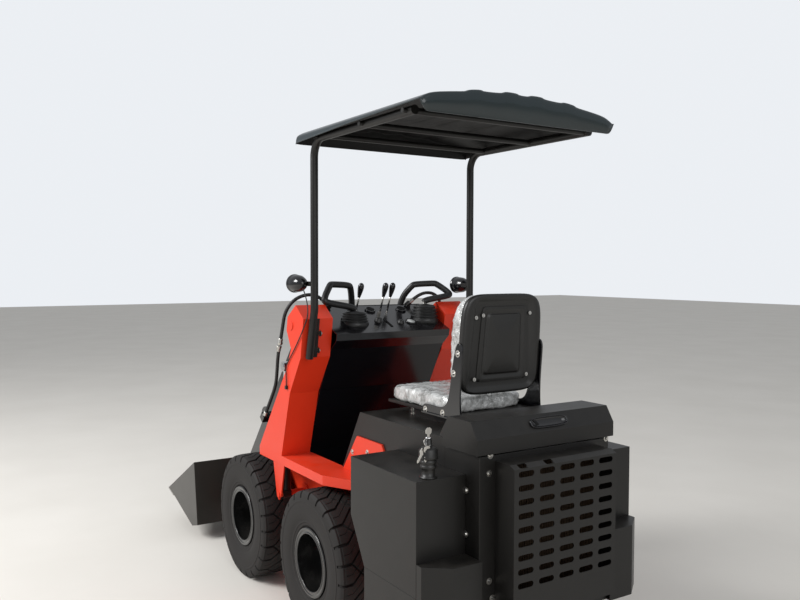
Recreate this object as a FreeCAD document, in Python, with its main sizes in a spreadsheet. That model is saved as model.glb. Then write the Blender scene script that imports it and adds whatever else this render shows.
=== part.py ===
import FreeCAD, Part
import math
import os
import re
import Sketcher

# Mini skid steer loader with a ride-on seat and a canopy.
# Frame: +X forward to the bucket, +Y to the left, +Z up, ground at z = 0,
# origin under the middle of the whole machine. Lengths in millimetres, angles in degrees.

# Driving dimensions: name and value, grouped by what they size.
# X places are counted from the middle between the axles, which lies at AxleMid.
DIMENSIONS = {
    # wheels
    "AxleMid": -70, "Wheelbase": 747, "TyreRadius": 295, "TyreWidth": 180, "WheelCentre": 410,
    "BeadRadius": 128, "RimFlange": 14, "RimWidth": 138, "RimSheet": 6, "DiscInset": 26,
    "HubRadius": 62, "ShaftRadius": 20, "HousingRadius": 52, "RunningGap": 0.05, "SeatGap": 0.3,
    # frame tub
    "FrameHalf": 300, "FramePlate": 8, "FrameBottom": 170, "FrameTop": 656, "FrameFront": 460,
    "FrameNose": 250, "NoseHeight": 420, "FrameRear": 1060, "FloorHeight": 330, "SheetSteel": 3, "LashRadius": 15, "LashRear": 760, "LashFront": 40, "LashY": 240,
    # loader towers and steps
    "TowerOuter": 442, "TowerPlate": 4, "StepPlate": 5, "StepFlange": 40, "StepRear": 620,
    # lift arms
    "PivotX": -100, "PivotZ": 1255, "PivotRadius": 20, "BoomHub": 40, "BoomSlope": 50,
    "BoomLength": 720, "BoomDepth": 90, "BoomInner": 312, "BoomWidth": 60,
    "CrossAlong": 660, "CrossRise": 45, "CrossRadius": 45, "LegInner": 246, "LegWidth": 60,
    "LegOffset": 100, "LegDepth": 100, "LegTop": 780, "LegKnee": 1120,
    "BucketPinX": 870, "BucketPinZ": 205, "BucketPinRadius": 16, "LegHub": 34,
    # lift cylinders
    "LiftBaseX": 50, "LiftBaseZ": 470, "LiftAlong": 240, "LiftDrop": 20, "LiftY": 402,
    "LiftBarrel": 22, "LiftRod": 14, "LiftEye": 23, "LiftEyeWidth": 38, "LiftPin": 14,
    # tilt cylinder
    "TiltBaseX": 455, "TiltBaseZ": 665, "TiltBarrel": 28, "TiltRod": 15, "TiltEye": 25,
    "TiltEyeWidth": 44, "TiltPin": 14, "TiltArm": 140, "TiltAngle": 115, "EarPlate": 12,
    # bucket
    "BucketHalf": 520, "BucketPlate": 6, "EdgePlate": 10, "QuickPlate": 14, "QuickHalf": 330,
    # engine box, rear cabinet, lid and grille
    "BoxTop": 915, "CabinetRear": 1256, "CabinetBottom": 280, "CabinetTop": 886, "CabinetPlate": 4,
    "LidHalf": 317.5, "LidSheet": 3, "LidHingeX": -1052, "LidHingeZ": 926, "HingeRadius": 7, "HingePin": 3, "HingePlace": 220, "HingeLength": 36,
    "GrilleRear": 1355, "GrilleHalf": 235, "GrilleTop": 867, "GrilleBottom": 405,
    "SlotLength": 67, "SlotHeight": 20, "SlotPitchY": 91.5, "SlotPitchZ": 46.1, "SlotLowest": 469,
    # side tanks and bumpers
    "TankOuter": 500, "TankTop": 814, "TankFront": 743, "TankRear": 1181, "TankNose": 597, "TankFoot": 842, "SeamHeight": 430,
    "BumperTurn": 1211, "BumperCorner": 85, "BumperRear": 1275, "BumperBottom": 280, "LedgeTop": 544, "BumperPlate": 6,
    # seat
    "SeatHalf": 209, "SeatBaseHeight": 955, "BracketPlate": 8,
    # canopy
    "PostRadius": 16.5, "PostY": 411, "PostX": -267, "RoofHalf": 452, "RoofFront": -172,
    "RoofRear": 1123, "RimHeight": 2034, "RoofCrown": 96, "RoofSheet": 4, "SpacerRadius": 9, "CrossBar": 12,
    # controls, lamps and filler
    "FillerX": 1130, "FillerY": 430, "FillerNeck": 20.5, "FillerCap": 31,
    "LeverX": -150, "LeverLeftY": 162, "LeverRightY": -233, "BellowsRadius": 66, "LeverTube": 15, "LeverStem": 10, "StemRadius": 4.5,
    "LampX": -160, "LampY": 437, "LampZ": 1438,
    # hoses along the booms: they end in a port block, at this place, rise and distance from the boom
    "HoseRadius": 8, "HoseEnd": 610, "HoseRise": 11, "HoseOut": 24, "CableRadius": 2.5,
}

# Side outlines of plates: corner name, X from the middle between the axles, Z.
OUTLINES = {
    "Tower": [("Toe", 260, 656), ("Shin", -46, 1055), ("Neck", -98, 1150), ("Bulge", -52, 1231),
              ("Brow", -63, 1291), ("Ridge", -146, 1346), ("Top", -223, 1290),
              ("Back", -195, 1121), ("Waist", -83, 952), ("Heel", 8, 656)],
    "Bucket": [("RearTop", 1010, 430), ("RearFoot", 960, 90), ("HeelFoot", 1050, 64),
               ("Fore", 1400, 160), ("Tip", 1490, 180)],
    "Lid": [("Front", -1054, 932), ("TopFront", -1102, 1000), ("TopRear", -1229, 1000),
            ("Slope", -1264, 944), ("Lip", -1264, 892)],
    "Console": [("Crest", -4.3, 1329), ("Lip", -260, 1222), ("Under", -254, 1192), ("Upper", -205, 1150),
                ("Seam", -98, 958), ("Sill", 30, 656)],
}

doc = FreeCAD.newDocument("SkidSteerLoader")
sheet = doc.addObject("Spreadsheet::Sheet", "Sizes")
values = dict(DIMENSIONS)
for outline_name, corners in OUTLINES.items():
    for corner, along, height in corners:
        values[outline_name + corner + "X"] = along
        values[outline_name + corner + "Z"] = height
for row, (alias, value) in enumerate(values.items(), start=1):
    sheet.set(f"A{row}", alias)
    sheet.set(f"B{row}", str(value))
    sheet.setAlias(f"B{row}", alias)
doc.recompute()

nodes = {}
counter = {}


def size(alias):
    """The number in a cell, for the few shapes that are set by code."""
    return float(sheet.get(alias))


def bind(text):
    """An expression with every size's name pointed at its cell."""
    return re.sub(r"[A-Za-z]\w*", lambda word: "Sizes." + word[0] if word[0] in values else word[0], str(text))


def named(kind, name):
    """A new object whose name is the given one with a running number."""
    counter[name] = counter.get(name, 0) + 1
    return doc.addObject(kind, f"{name}_{counter[name]}")


def bound(thing, **sizes_of):
    """Bind properties to expressions; x, y and z stand for the place."""
    places = {"x": "Placement.Base.x", "y": "Placement.Base.y", "z": "Placement.Base.z"}
    for key, text in sizes_of.items():
        thing.setExpression(places.get(key, key), bind(text))
    return thing


def block(name, low, high):
    """A box between two corners, each a list of three expressions."""
    thing = named("Part::Box", name)
    lengths = {key: f"({b}) - ({a})" for key, a, b in zip(("Length", "Width", "Height"), low, high)}
    return bound(thing, **lengths, x=low[0], y=low[1], z=low[2])


TURNS = {"X": FreeCAD.Rotation(FreeCAD.Vector(0, 1, 0), 90),
         "Y": FreeCAD.Rotation(FreeCAD.Vector(1, 0, 0), -90),
         "Z": FreeCAD.Rotation()}


def round_bar(name, radius, axis, start, x="0", y="0", z="0", length="1"):
    """A cylinder along an axis, from a start on that axis."""
    thing = named("Part::Cylinder", name)
    thing.Placement = FreeCAD.Placement(FreeCAD.Vector(), TURNS[axis])
    place = {"x": x, "y": y, "z": z}
    place[axis.lower()] = start
    return bound(thing, Radius=radius, Height=length, **place)


def outline_sketch(body, name, plane, offset, corners, shift=("0", "0", "0")):
    """A closed outline on one of the body's planes, each corner held by two bound dimensions."""
    sketch = body.newObject("Sketcher::SketchObject", name + "Outline")
    base = next(f for f in body.Origin.OriginFeatures if f.Role == plane + "_Plane")
    sketch.AttachmentSupport = [(base, "")]
    sketch.MapMode = "FlatFace"
    sketch.setExpression("AttachmentOffset.Base.x", bind(shift[0]))
    sketch.setExpression("AttachmentOffset.Base.y", bind(shift[1]))
    sketch.setExpression("AttachmentOffset.Base.z", bind(offset))
    count = len(corners)
    start = [FreeCAD.Vector(10 * math.cos(k * math.tau / count), 10 * math.sin(k * math.tau / count), 0)
             for k in range(count)]
    for k in range(count):
        sketch.addGeometry(Part.LineSegment(start[k], start[(k + 1) % count]))
    for k in range(count):
        sketch.addConstraint(Sketcher.Constraint("Coincident", k, 2, (k + 1) % count, 1))
    for k, corner in enumerate(corners):
        for direction, text, place in zip(("DistanceX", "DistanceY"), corner, start[k]):
            held = sketch.addConstraint(Sketcher.Constraint(direction, -1, 1, k, 1, place))
            sketch.setExpression(f"Constraints[{held}]", bind(text))
    return sketch


def plate(name, plane, low, thickness, corners):
    """An outline padded from its lowest face along the plane's normal axis."""
    body = named("PartDesign::Body", name)
    # the XZ plane's normal points to -Y, so its pad starts at the highest face
    offset = f"-(({low}) + ({thickness}))" if plane == "XZ" else low
    pad = body.newObject("PartDesign::Pad", name + "Pad")
    sketch = outline_sketch(body, name, plane, offset, corners)
    pad.Profile = sketch
    pad.setExpression("Length", bind(thickness))
    body.Tip = pad
    return body


def lathe(name, corners, x, y, z, axis="Y"):
    """An outline turned about an axis: (place, radius) along Y or X, (radius, place) along Z."""
    body = named("PartDesign::Body", name)
    if axis == "Y":
        sketch = outline_sketch(body, name, "YZ", x, corners, shift=(y, z))
    else:
        sketch = outline_sketch(body, name, "XZ", f"-({y})", corners, shift=(x, z, "0"))
    turned = body.newObject("PartDesign::Revolution", name + "Turned")
    turned.Profile = sketch
    turned.ReferenceAxis = (sketch, ["V_Axis" if axis == "Z" else "H_Axis"])
    turned.Angle = 360
    body.Tip = turned
    return body


def fused(name, pieces):
    thing = named("Part::MultiFuse", name)
    thing.Shapes = pieces
    return thing


def cut(name, base, tool):
    thing = named("Part::Cut", name)
    thing.Base = base
    thing.Tool = tool
    return thing


def mirrored(name, source):
    """The same piece on the other side of the machine."""
    thing = named("Part::Mirroring", name)
    thing.Source = source
    thing.Normal = FreeCAD.Vector(0, 1, 0)
    return thing


def grouped(name, pieces):
    """Solids that don't touch but share one node."""
    thing = named("Part::Compound", name)
    thing.Links = pieces
    return thing


def keep(name, thing):
    """Make an object one of the part's nodes."""
    thing.Label = name
    nodes[name] = thing
    return thing


def keep_pair(name, left):
    """A piece and its mirror image as two nodes."""
    keep(name + "_left", left)
    return keep(name + "_right", mirrored(name + "_right", left))


def keep_both(name, left):
    """A piece and its mirror image as one node."""
    return keep(name, grouped(name, [left, mirrored(name, left)]))


def mid(text):
    """An X place counted from the middle between the axles."""
    return f"AxleMid + ({text})"


def along(distance, rise):
    """A point counted along the boom's line from the pivot, and square to it upwards."""
    return (mid(f"PivotX + ({distance}) * cos(BoomSlope) + ({rise}) * sin(BoomSlope)"),
            f"PivotZ - ({distance}) * sin(BoomSlope) + ({rise}) * cos(BoomSlope)")


def corners_of(outline_name, *wanted, dx="0", dz="0"):
    """Named corners of a side outline, moved by dx and dz."""
    rows = wanted or [row[0] for row in OUTLINES[outline_name]]
    return [(mid(f"{outline_name}{row}X + ({dx})"), f"{outline_name}{row}Z + ({dz})") for row in rows]


def bent_tube(name, route, radius, bend=None, closed_ends=True):
    """A round bar along straight runs joined by tangent arcs, set by code from the sheet.

    Without a bend of its own, each arc is as large as its two runs allow.
    """
    points = [FreeCAD.Vector(*point) for point in route]
    edges = []
    bends = []
    here = points[0]
    for before, corner, after in zip(points, points[1:], points[2:]):
        into = (corner - before).normalize()
        out = (after - corner).normalize()
        half_turn = into.getAngle(out) / 2
        shorter = min(before.distanceToPoint(corner), corner.distanceToPoint(after))
        reach = bend * math.tan(half_turn) if bend else 0.45 * shorter
        arc = reach / math.tan(half_turn)
        bends.append(round(arc))
        start = corner - into * reach
        end = corner + out * reach
        towards = (out - into).normalize()
        middle = corner + towards * (arc / math.cos(half_turn) - arc)
        edges.append(Part.LineSegment(here, start).toShape())
        edges.append(Part.Arc(start, middle, end).toShape())
        here = end
    edges.append(Part.LineSegment(here, points[-1]).toShape())
    path = Part.Wire(edges)
    first = (points[1] - points[0]).normalize()
    ring = Part.Wire([Part.makeCircle(radius, points[0], first)])
    thing = named("Part::Feature", name)
    thing.Shape = path.makePipeShell([ring], closed_ends, True)
    if not bend and bends:
        share = thing.Shape.Volume / (math.pi * radius ** 2 * path.Length)
        print(f"{name}: length {path.Length:.0f}, bends {bends}, volume against section times length {share:.4f}")
    return thing


# Wheels: a solid tyre on a deep-dished rim, at each end of both axles.
AXLES = [("front", "AxleMid + Wheelbase / 2"), ("rear", "AxleMid - Wheelbase / 2")]
SIDES = [("left", 1), ("right", -1)]
TYRE_OUTLINE = [("-RimWidth / 2", "BeadRadius + SeatGap"), ("-RimWidth / 2", "BeadRadius + RimFlange + 3"),
                ("-TyreWidth / 2 + 8", "BeadRadius + 44"),
                ("-TyreWidth / 2", "TyreRadius - 78"), ("-TyreWidth / 2 + 3", "TyreRadius - 30"),
                ("-TyreWidth / 2 + 16", "TyreRadius"), ("TyreWidth / 2 - 16", "TyreRadius"),
                ("TyreWidth / 2 - 3", "TyreRadius - 30"), ("TyreWidth / 2", "TyreRadius - 78"),
                ("TyreWidth / 2 - 8", "BeadRadius + 44"), ("RimWidth / 2", "BeadRadius + RimFlange + 3"),
                ("RimWidth / 2", "BeadRadius + SeatGap")]
RIM_OUTLINE = [("-RimWidth / 2 - RimSheet", "BeadRadius - RimSheet"),
               ("-DiscInset - RimSheet", "BeadRadius - RimSheet"),
               ("-DiscInset - RimSheet", "HubRadius"), ("-DiscInset - 2 * RimSheet", "HubRadius"),
               ("-DiscInset - 2 * RimSheet", "ShaftRadius + RunningGap"),
               ("-DiscInset + 3 * RimSheet", "ShaftRadius + RunningGap"),
               ("-DiscInset + 3 * RimSheet", "HubRadius / 2"), ("-DiscInset", "HubRadius / 2"),
               ("-DiscInset", "BeadRadius - RimSheet"), ("RimWidth / 2 + RimSheet", "BeadRadius - RimSheet"),
               ("RimWidth / 2 + RimSheet", "BeadRadius + RimFlange"), ("RimWidth / 2 + SeatGap", "BeadRadius + RimFlange"),
               ("RimWidth / 2 + SeatGap", "BeadRadius"), ("-RimWidth / 2 - SeatGap", "BeadRadius"),
               ("-RimWidth / 2 - SeatGap", "BeadRadius + RimFlange"),
               ("-RimWidth / 2 - RimSheet", "BeadRadius + RimFlange")]
for axle, axle_x in AXLES:
    for side, sign in SIDES:
        for piece, outline in (("tyre", TYRE_OUTLINE), ("rim", RIM_OUTLINE)):
            turned = [(f"({sign}) * ({reach})", radius) for reach, radius in outline]
            keep(f"{piece}_{axle}_{side}", lathe(piece, turned, axle_x, f"({sign}) * WheelCentre", "TyreRadius"))

# Axle housings: a flange on the frame, a round housing and the shaft that the hub turns on.
housings = []
hub_face = "WheelCentre - DiscInset - 2 * RimSheet"
for axle, axle_x in AXLES:
    flange = round_bar("housing", "HousingRadius * 1.4", "Y", "FrameHalf", x=axle_x, z="TyreRadius", length="FramePlate")
    drum = round_bar("housing", "HousingRadius", "Y", "FrameHalf", x=axle_x, z="TyreRadius",
                     length=f"{hub_face} - FrameHalf - SeatGap")
    shaft = round_bar("housing", "ShaftRadius", "Y", "FrameHalf", x=axle_x, z="TyreRadius",
                      length="WheelCentre - DiscInset + 3 * RimSheet - FrameHalf")
    left = fused("housing", [flange, drum, shaft])
    housings += [left, mirrored("housing", left)]
keep("axle_housings", grouped("axle_housings", housings))

# Frame tub: folded plate, open at the top, with a sloping nose.
tub_outer = plate("tub", "XZ", "-FrameHalf", "2 * FrameHalf", [
    (mid("-FrameRear"), "FrameBottom"), (mid("FrameFront"), "FrameBottom"), (mid("FrameFront"), "NoseHeight"),
    (mid("FrameNose"), "FrameTop"), (mid("-FrameRear"), "FrameTop")])
tub_inner = plate("tub", "XZ", "-FrameHalf + FramePlate", "2 * (FrameHalf - FramePlate)", [
    (mid("-FrameRear + FramePlate"), "FrameBottom + FramePlate"),
    (mid("FrameFront - FramePlate"), "FrameBottom + FramePlate"),
    (mid("FrameFront - FramePlate"), "NoseHeight - FramePlate / 2"),
    (mid("FrameNose - FramePlate"), "FrameTop"), (mid("FrameNose - FramePlate"), "FrameTop + 10"),
    (mid("-FrameRear + FramePlate"), "FrameTop + 10")])
lashing = [round_bar("tub", "LashRadius", "Z", "FrameBottom - 1", x=mid("FrameFront - LashFront"), y=side,
                     length="FramePlate + 2") for side in ("LashY", "-LashY")]
lashing.append(round_bar("tub", "LashRadius", "Y", "-TowerOuter", x=mid("-LashRear"),
                         z="FrameBottom + LashFront", length="2 * TowerOuter"))
tub = cut("tub", tub_outer, fused("tub", [tub_inner] + lashing))
cheek = plate("cheek", "XZ", "FrameHalf", "FramePlate", [
    (mid("-330"), "FrameTop + SeatGap"), (mid("-448"), "TankTop"), (mid("-644"), "TankTop"),
    (mid("-TankFront"), "FrameTop + 20"), (mid("-TankFront"), "FrameTop - 30"),
    (mid("-StepRear - 12"), "FrameTop - 30"), (mid("-StepRear - 12"), "FrameTop + SeatGap")])
keep("chassis_frame", fused("chassis_frame", [tub, cheek, mirrored("cheek", cheek)]))

# Foot floor between the console and the engine box.
keep("foot_floor", block("foot_floor", [mid("-310"), "-FrameHalf + FramePlate", "FloorHeight - SheetSteel"],
                         [mid("200"), "FrameHalf - FramePlate", "FloorHeight"]))

# Steps: a plate over the tyres with a folded edge, open where the tower's channel stands.
step_plan = [(mid("TowerToeX"), "FrameHalf"), (mid("TowerToeX"), "TowerOuter"), (mid("-400"), "TowerOuter"),
             (mid("-560"), "TowerOuter - 82"), (mid("-StepRear"), "FrameHalf")]
step_low = [(x, y if y == "FrameHalf" else f"{y} - StepPlate") for x, y in step_plan]
step_top = plate("step", "XY", "FrameTop - StepPlate", "StepPlate", step_plan)
step_skirt = plate("step", "XY", "FrameTop - StepFlange", "StepFlange", step_plan)
step_core = plate("step", "XY", "FrameTop - StepFlange - 1", "StepFlange + 2", step_low)
skirt = cut("step", step_skirt, step_core)
well = block("step", [mid("TowerHeelX + 8"), "FrameHalf + TowerPlate", "FrameTop - StepPlate - 1"],
             [mid("TowerToeX - 20"), "TowerOuter - TowerPlate", "FrameTop + 1"])
keep_pair("step", cut("step", fused("step", [step_top, skirt]), well))

# Loader towers: two plates joined by a strap along the rear, with the arm's pivot pin through both.
tower_side = corners_of("Tower")
outer_plate = plate("tower", "XZ", "TowerOuter - TowerPlate", "TowerPlate", tower_side)
inner_plate = plate("tower", "XZ", "FrameHalf", "TowerPlate", tower_side)
strap_outside = corners_of("Tower", "Heel", "Waist", "Back", "Top", "Ridge")
strap_inside = (corners_of("Tower", "Ridge", dz="-TowerPlate * 1.3") + corners_of("Tower", "Top", dx="TowerPlate", dz="-TowerPlate / 2")
                + corners_of("Tower", "Back", "Waist", "Heel", dx="TowerPlate"))
strap = plate("tower", "XZ", "FrameHalf", "TowerOuter - FrameHalf", strap_outside + strap_inside)
pivot_pin = round_bar("tower", "PivotRadius", "Y", "FrameHalf", x=mid("PivotX"), z="PivotZ",
                      length="TowerOuter - FrameHalf + TowerPlate")
keep_pair("tower", fused("tower", [outer_plate, inner_plate, strap, pivot_pin]))

# Console between the towers: top, two bolted rear sheets and the front cowl.
console_half = ("-FrameHalf", "2 * FrameHalf")
keep("console_top", plate("console_top", "XZ", *console_half, [
    *corners_of("Console", "Upper", "Under", "Lip", "Crest"), *corners_of("Console", "Crest", dx="1", dz="-SheetSteel - 0.3"),
    *corners_of("Console", "Lip", dx="4", dz="-SheetSteel"), *corners_of("Console", "Under", dx="4"),
    *corners_of("Console", "Upper", dx="4")]))
keep("console_panel_upper", plate("console_panel", "XZ", *console_half, [
    *corners_of("Console", "Seam", dz="1"), *corners_of("Console", "Upper"), *corners_of("Console", "Upper", dx="4"),
    *corners_of("Console", "Seam", dx="4", dz="1")]))
keep("console_panel_lower", plate("console_panel", "XZ", *console_half, [
    *corners_of("Console", "Sill", "Seam"), *corners_of("Console", "Seam", "Sill", dx="4")]))
keep("foot_panel", block("foot_panel", [mid("ConsoleSillX"), "-FrameHalf + FramePlate", "FloorHeight"],
                         [mid("ConsoleSillX + SheetSteel"), "FrameHalf - FramePlate", "FrameTop"]))
keep("front_cowl", plate("front_cowl", "XZ", *console_half, [
    (mid("FrameNose"), "FrameTop"), *corners_of("Console", "Crest", dx="4.5", dz="2"),
    *corners_of("Console", "Crest", dx="-0.5", dz="2"), (mid("FrameNose - 5"), "FrameTop")]))

# Lift arms: two booms in the towers, a cross tube, and two inner legs down to the bucket pins.
boom_end = "BoomLength"
boom = plate("boom", "XZ", "BoomInner", "BoomWidth", [
    along("0", "BoomHub"), along("120", "BoomDepth / 2"), along(boom_end, "BoomDepth / 2"),
    along(boom_end, "-BoomDepth / 4"), along(f"{boom_end} - 30", "-BoomDepth / 2"),
    along("120", "-BoomDepth / 2"), along("0", "-BoomHub")])
boom_hub = round_bar("boom", "BoomHub", "Y", "BoomInner", x=mid("PivotX"), z="PivotZ", length="BoomWidth")
cross_x, cross_z = along("CrossAlong", "CrossRise")
cross_tube = round_bar("boom", "CrossRadius", "Y", "-BoomInner - BoomWidth", x=cross_x, z=cross_z,
                       length="2 * (BoomInner + BoomWidth)")
leg = plate("leg", "XZ", "LegInner", "LegWidth", [
    along("CrossAlong - 35", "CrossRise + CrossRadius"), along("LegTop", "LegOffset + LegDepth / 2"),
    along("LegKnee", "LegOffset + LegDepth / 2"),
    (mid("BucketPinX + LegHub - 2"), "BucketPinZ + 8"), (mid("BucketPinX - LegHub + 4"), "BucketPinZ - 12"),
    along("LegKnee - 30", "LegOffset - LegDepth / 2"), along("LegTop", "LegOffset - LegDepth / 2"),
    along("CrossAlong - 20", "CrossRise - CrossRadius")])
leg_hub = round_bar("leg", "LegHub", "Y", "LegInner", x=mid("BucketPinX"), z="BucketPinZ", length="LegWidth")
tilt_ear = plate("tilt_ear", "XZ", "TiltBarrel + 5", "EarPlate", [
    (f"{cross_x} + 20", f"{cross_z} + 38"), (mid("TiltBaseX + 12"), "TiltBaseZ + 28"),
    (mid("TiltBaseX + 28"), "TiltBaseZ - 12"), (mid("TiltBaseX - 12"), "TiltBaseZ - 28"),
    (f"{cross_x} - 30", f"{cross_z} - 30")])
port_block = plate("port_block", "XZ", "BoomInner + BoomWidth - 1", "HoseOut + HoseRadius + 6", [
    along("HoseEnd", "HoseRise - 18"), along("HoseEnd", "HoseRise + 18"), along("HoseEnd + 36", "HoseRise + 18"),
    along("HoseEnd + 36", "HoseRise - 18")])
side_pieces = [boom, boom_hub, leg, leg_hub, tilt_ear, port_block]
tilt_pin = round_bar("tilt_pin", "TiltPin", "Y", "-TiltBarrel - 5 - EarPlate", x=mid("TiltBaseX"), z="TiltBaseZ",
                     length="2 * (TiltBarrel + 5 + EarPlate)")
arms_solid = fused("arms", side_pieces + [mirrored("arms", piece) for piece in side_pieces] + [cross_tube, tilt_pin])
pivot_bore = round_bar("arms", "PivotRadius + RunningGap", "Y", "-TowerOuter", x=mid("PivotX"), z="PivotZ", length="2 * TowerOuter")
bucket_bore = round_bar("arms", "BucketPinRadius + RunningGap", "Y", "-TowerOuter", x=mid("BucketPinX"), z="BucketPinZ",
                        length="2 * TowerOuter")
keep("lift_arms", cut("lift_arms", arms_solid, fused("arms", [pivot_bore, bucket_bore])))

# Hydraulic cylinders: a barrel with a base eye, and a rod with an eye at its free end.
# Each is made upright with its base eye at the origin and then aimed at its rod's pin.


def cylinder_pair(barrel_name, rod_name, radius, rod, eye, eye_width, pin, start, end, y, stub):
    """A barrel and its rod between two pins; stub is the rod pin's reach beyond the eye."""
    reach = f"sqrt(({end[0]} - ({start[0]})) ^ 2 + ({end[1]} - ({start[1]})) ^ 2)"
    slope = f"atan2({end[0]} - ({start[0]}); {end[1]} - ({start[1]}))"
    front = f"{reach} - {eye} - 34"
    tube = round_bar(barrel_name, radius, "Z", f"{eye} - 3", length=f"{front} - {eye} + 3")
    base_eye = round_bar(barrel_name, eye, "Y", f"-{eye_width} / 2", length=eye_width)
    inside = round_bar(barrel_name, f"{rod} + RunningGap", "Z", f"{eye} + 30", length=reach)
    bore = round_bar(barrel_name, f"{pin} + RunningGap", "Y", f"-{eye_width}", length=f"2 * {eye_width}")
    barrel = cut(barrel_name, fused(barrel_name, [tube, base_eye]), fused(barrel_name, [inside, bore]))
    shank = round_bar(rod_name, rod, "Z", f"{eye} + 60", length=f"{reach} - {eye} - 60")
    rod_eye = round_bar(rod_name, eye, "Y", f"-{eye_width} / 2", z=reach, length=eye_width)
    rod_pin = round_bar(rod_name, pin, "Y", f"-{eye_width} / 2 - ({stub[0]})", z=reach,
                        length=f"{eye_width} + ({stub[0]}) + ({stub[1]})")
    rod_piece = fused(rod_name, [shank, rod_eye, rod_pin])
    for thing in (barrel, rod_piece):
        thing.Placement = FreeCAD.Placement(FreeCAD.Vector(), FreeCAD.Rotation(FreeCAD.Vector(0, 1, 0), 1))
        bound(thing, x=start[0], y=y, z=start[1])
        thing.setExpression("Placement.Rotation.Angle", bind(slope))
    return barrel, rod_piece


lift_start = (mid("LiftBaseX"), "LiftBaseZ")
lift_end = along("LiftAlong", "-LiftDrop")
boom_side = "LiftY - LiftEyeWidth / 2 - BoomInner - BoomWidth - SeatGap"
lift_barrel, lift_rod = cylinder_pair("lift_barrel", "lift_rod", "LiftBarrel", "LiftRod", "LiftEye", "LiftEyeWidth",
                                      "LiftPin", lift_start, lift_end, "LiftY", (boom_side, "4"))
keep_pair("lift_barrel", lift_barrel)
keep_pair("lift_rod", lift_rod)

tilt_start = (mid("TiltBaseX"), "TiltBaseZ")
tilt_end = (mid("BucketPinX + TiltArm * cos(TiltAngle)"), "BucketPinZ + TiltArm * sin(TiltAngle)")
tilt_barrel, tilt_rod = cylinder_pair("tilt_barrel", "tilt_rod", "TiltBarrel", "TiltRod", "TiltEye", "TiltEyeWidth",
                                      "TiltPin", tilt_start, tilt_end, "0", ("4", "4"))
keep("tilt_barrel", tilt_barrel)
keep("tilt_rod", tilt_rod)

# Brackets that carry the lift cylinders' base pins under the steps.
ear_y = "TowerOuter - 2 * StepPlate - 1"
ear = plate("lift_bracket", "XZ", ear_y, "StepPlate + 1", [
    (mid("LiftBaseX - 60"), "FrameTop - StepFlange"), (mid("LiftBaseX - 24"), "LiftBaseZ"), (mid("LiftBaseX"), "LiftBaseZ - 26"),
    (mid("LiftBaseX + 24"), "LiftBaseZ"), (mid("LiftBaseX + 60"), "FrameTop - StepFlange"),
    (mid("LiftBaseX + 60"), "FrameTop - StepPlate"), (mid("LiftBaseX - 60"), "FrameTop - StepPlate")])
base_pin = round_bar("lift_bracket", "LiftPin", "Y", "FrameHalf", x=mid("LiftBaseX"), z="LiftBaseZ",
                     length=f"{ear_y} + StepPlate + 5 - FrameHalf")
pad_plate = round_bar("lift_bracket", "34", "Y", "FrameHalf", x=mid("LiftBaseX"), z="LiftBaseZ", length="FramePlate")
keep_both("lift_brackets", fused("lift_bracket", [ear, base_pin, pad_plate]))

# Bucket, its cutting edge and the attachment plate behind it.
bucket_outer = plate("bucket", "XZ", "-BucketHalf", "2 * BucketHalf", corners_of("Bucket"))
bucket_inner = plate("bucket", "XZ", "-BucketHalf + BucketPlate", "2 * (BucketHalf - BucketPlate)", [
    (mid("BucketRearTopX + BucketPlate + 3"), "BucketRearTopZ + 20"), (mid("BucketRearFootX + BucketPlate + 1"), "BucketRearFootZ + 5"),
    (mid("BucketHeelFootX + 2"), "BucketHeelFootZ + BucketPlate"), (mid("BucketForeX - 2"), "BucketForeZ + BucketPlate"),
    (mid("BucketTipX - 2"), "BucketTipZ + BucketPlate"), (mid("BucketTipX"), "BucketRearTopZ + 20")])
keep("bucket", cut("bucket", bucket_outer, bucket_inner))
keep("cutting_edge", plate("cutting_edge", "XZ", "-BucketHalf", "2 * BucketHalf", [
    (mid("BucketForeX"), "BucketForeZ"), (mid("BucketTipX"), "BucketTipZ"), (mid("BucketTipX + 5"), "BucketTipZ"),
    (mid("BucketTipX + 5"), "BucketTipZ - 5"), (mid("BucketForeX + 2"), "BucketForeZ - EdgePlate")]))

back_x = "BucketRearTopX - BucketRearFootX"
back_z = "BucketRearTopZ - BucketRearFootZ"


def on_back(share, away):
    """A point on the bucket's back line, moved away from the bucket."""
    return (mid(f"BucketRearFootX + ({share}) * ({back_x}) - ({away})"), f"BucketRearFootZ + ({share}) * ({back_z})")


quick = plate("quick_plate", "XZ", "-QuickHalf", "2 * QuickHalf",
              [on_back(0.06, "0"), on_back(0.88, "0"), on_back(0.88, "QuickPlate"), on_back(0.06, "QuickPlate")])
pin_ears = []
for low in ("LegInner - 3 - EarPlate", "LegInner + LegWidth + 3"):
    web = plate("pin_ear", "XZ", low, "EarPlate", [
        on_back(0.14, "QuickPlate - 1"), on_back(0.7, "QuickPlate - 1"),
        (mid("BucketPinX + 6"), "BucketPinZ + LegHub"), (mid("BucketPinX - 20"), "BucketPinZ - 22"),
        (mid("BucketPinX + 6"), "BucketPinZ - LegHub")])
    hub = round_bar("pin_ear", "LegHub", "Y", low, x=mid("BucketPinX"), z="BucketPinZ", length="EarPlate")
    pin_ears += [web, hub]
bucket_pin = round_bar("bucket_pin", "BucketPinRadius", "Y", "LegInner - 3 - EarPlate - 5", x=mid("BucketPinX"), z="BucketPinZ",
                       length="LegWidth + 6 + 2 * EarPlate + 10")
tilt_ear_y = "TiltEyeWidth / 2 + 5"
eye_ear = plate("eye_ear", "XZ", tilt_ear_y, "EarPlate", [
    on_back(0.3, "QuickPlate - 1"), on_back(0.86, "QuickPlate - 1"),
    (tilt_end[0], f"{tilt_end[1]} + TiltEye"), (f"{tilt_end[0]} - TiltEye", tilt_end[1]), (tilt_end[0], f"{tilt_end[1]} - TiltEye")])
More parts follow.
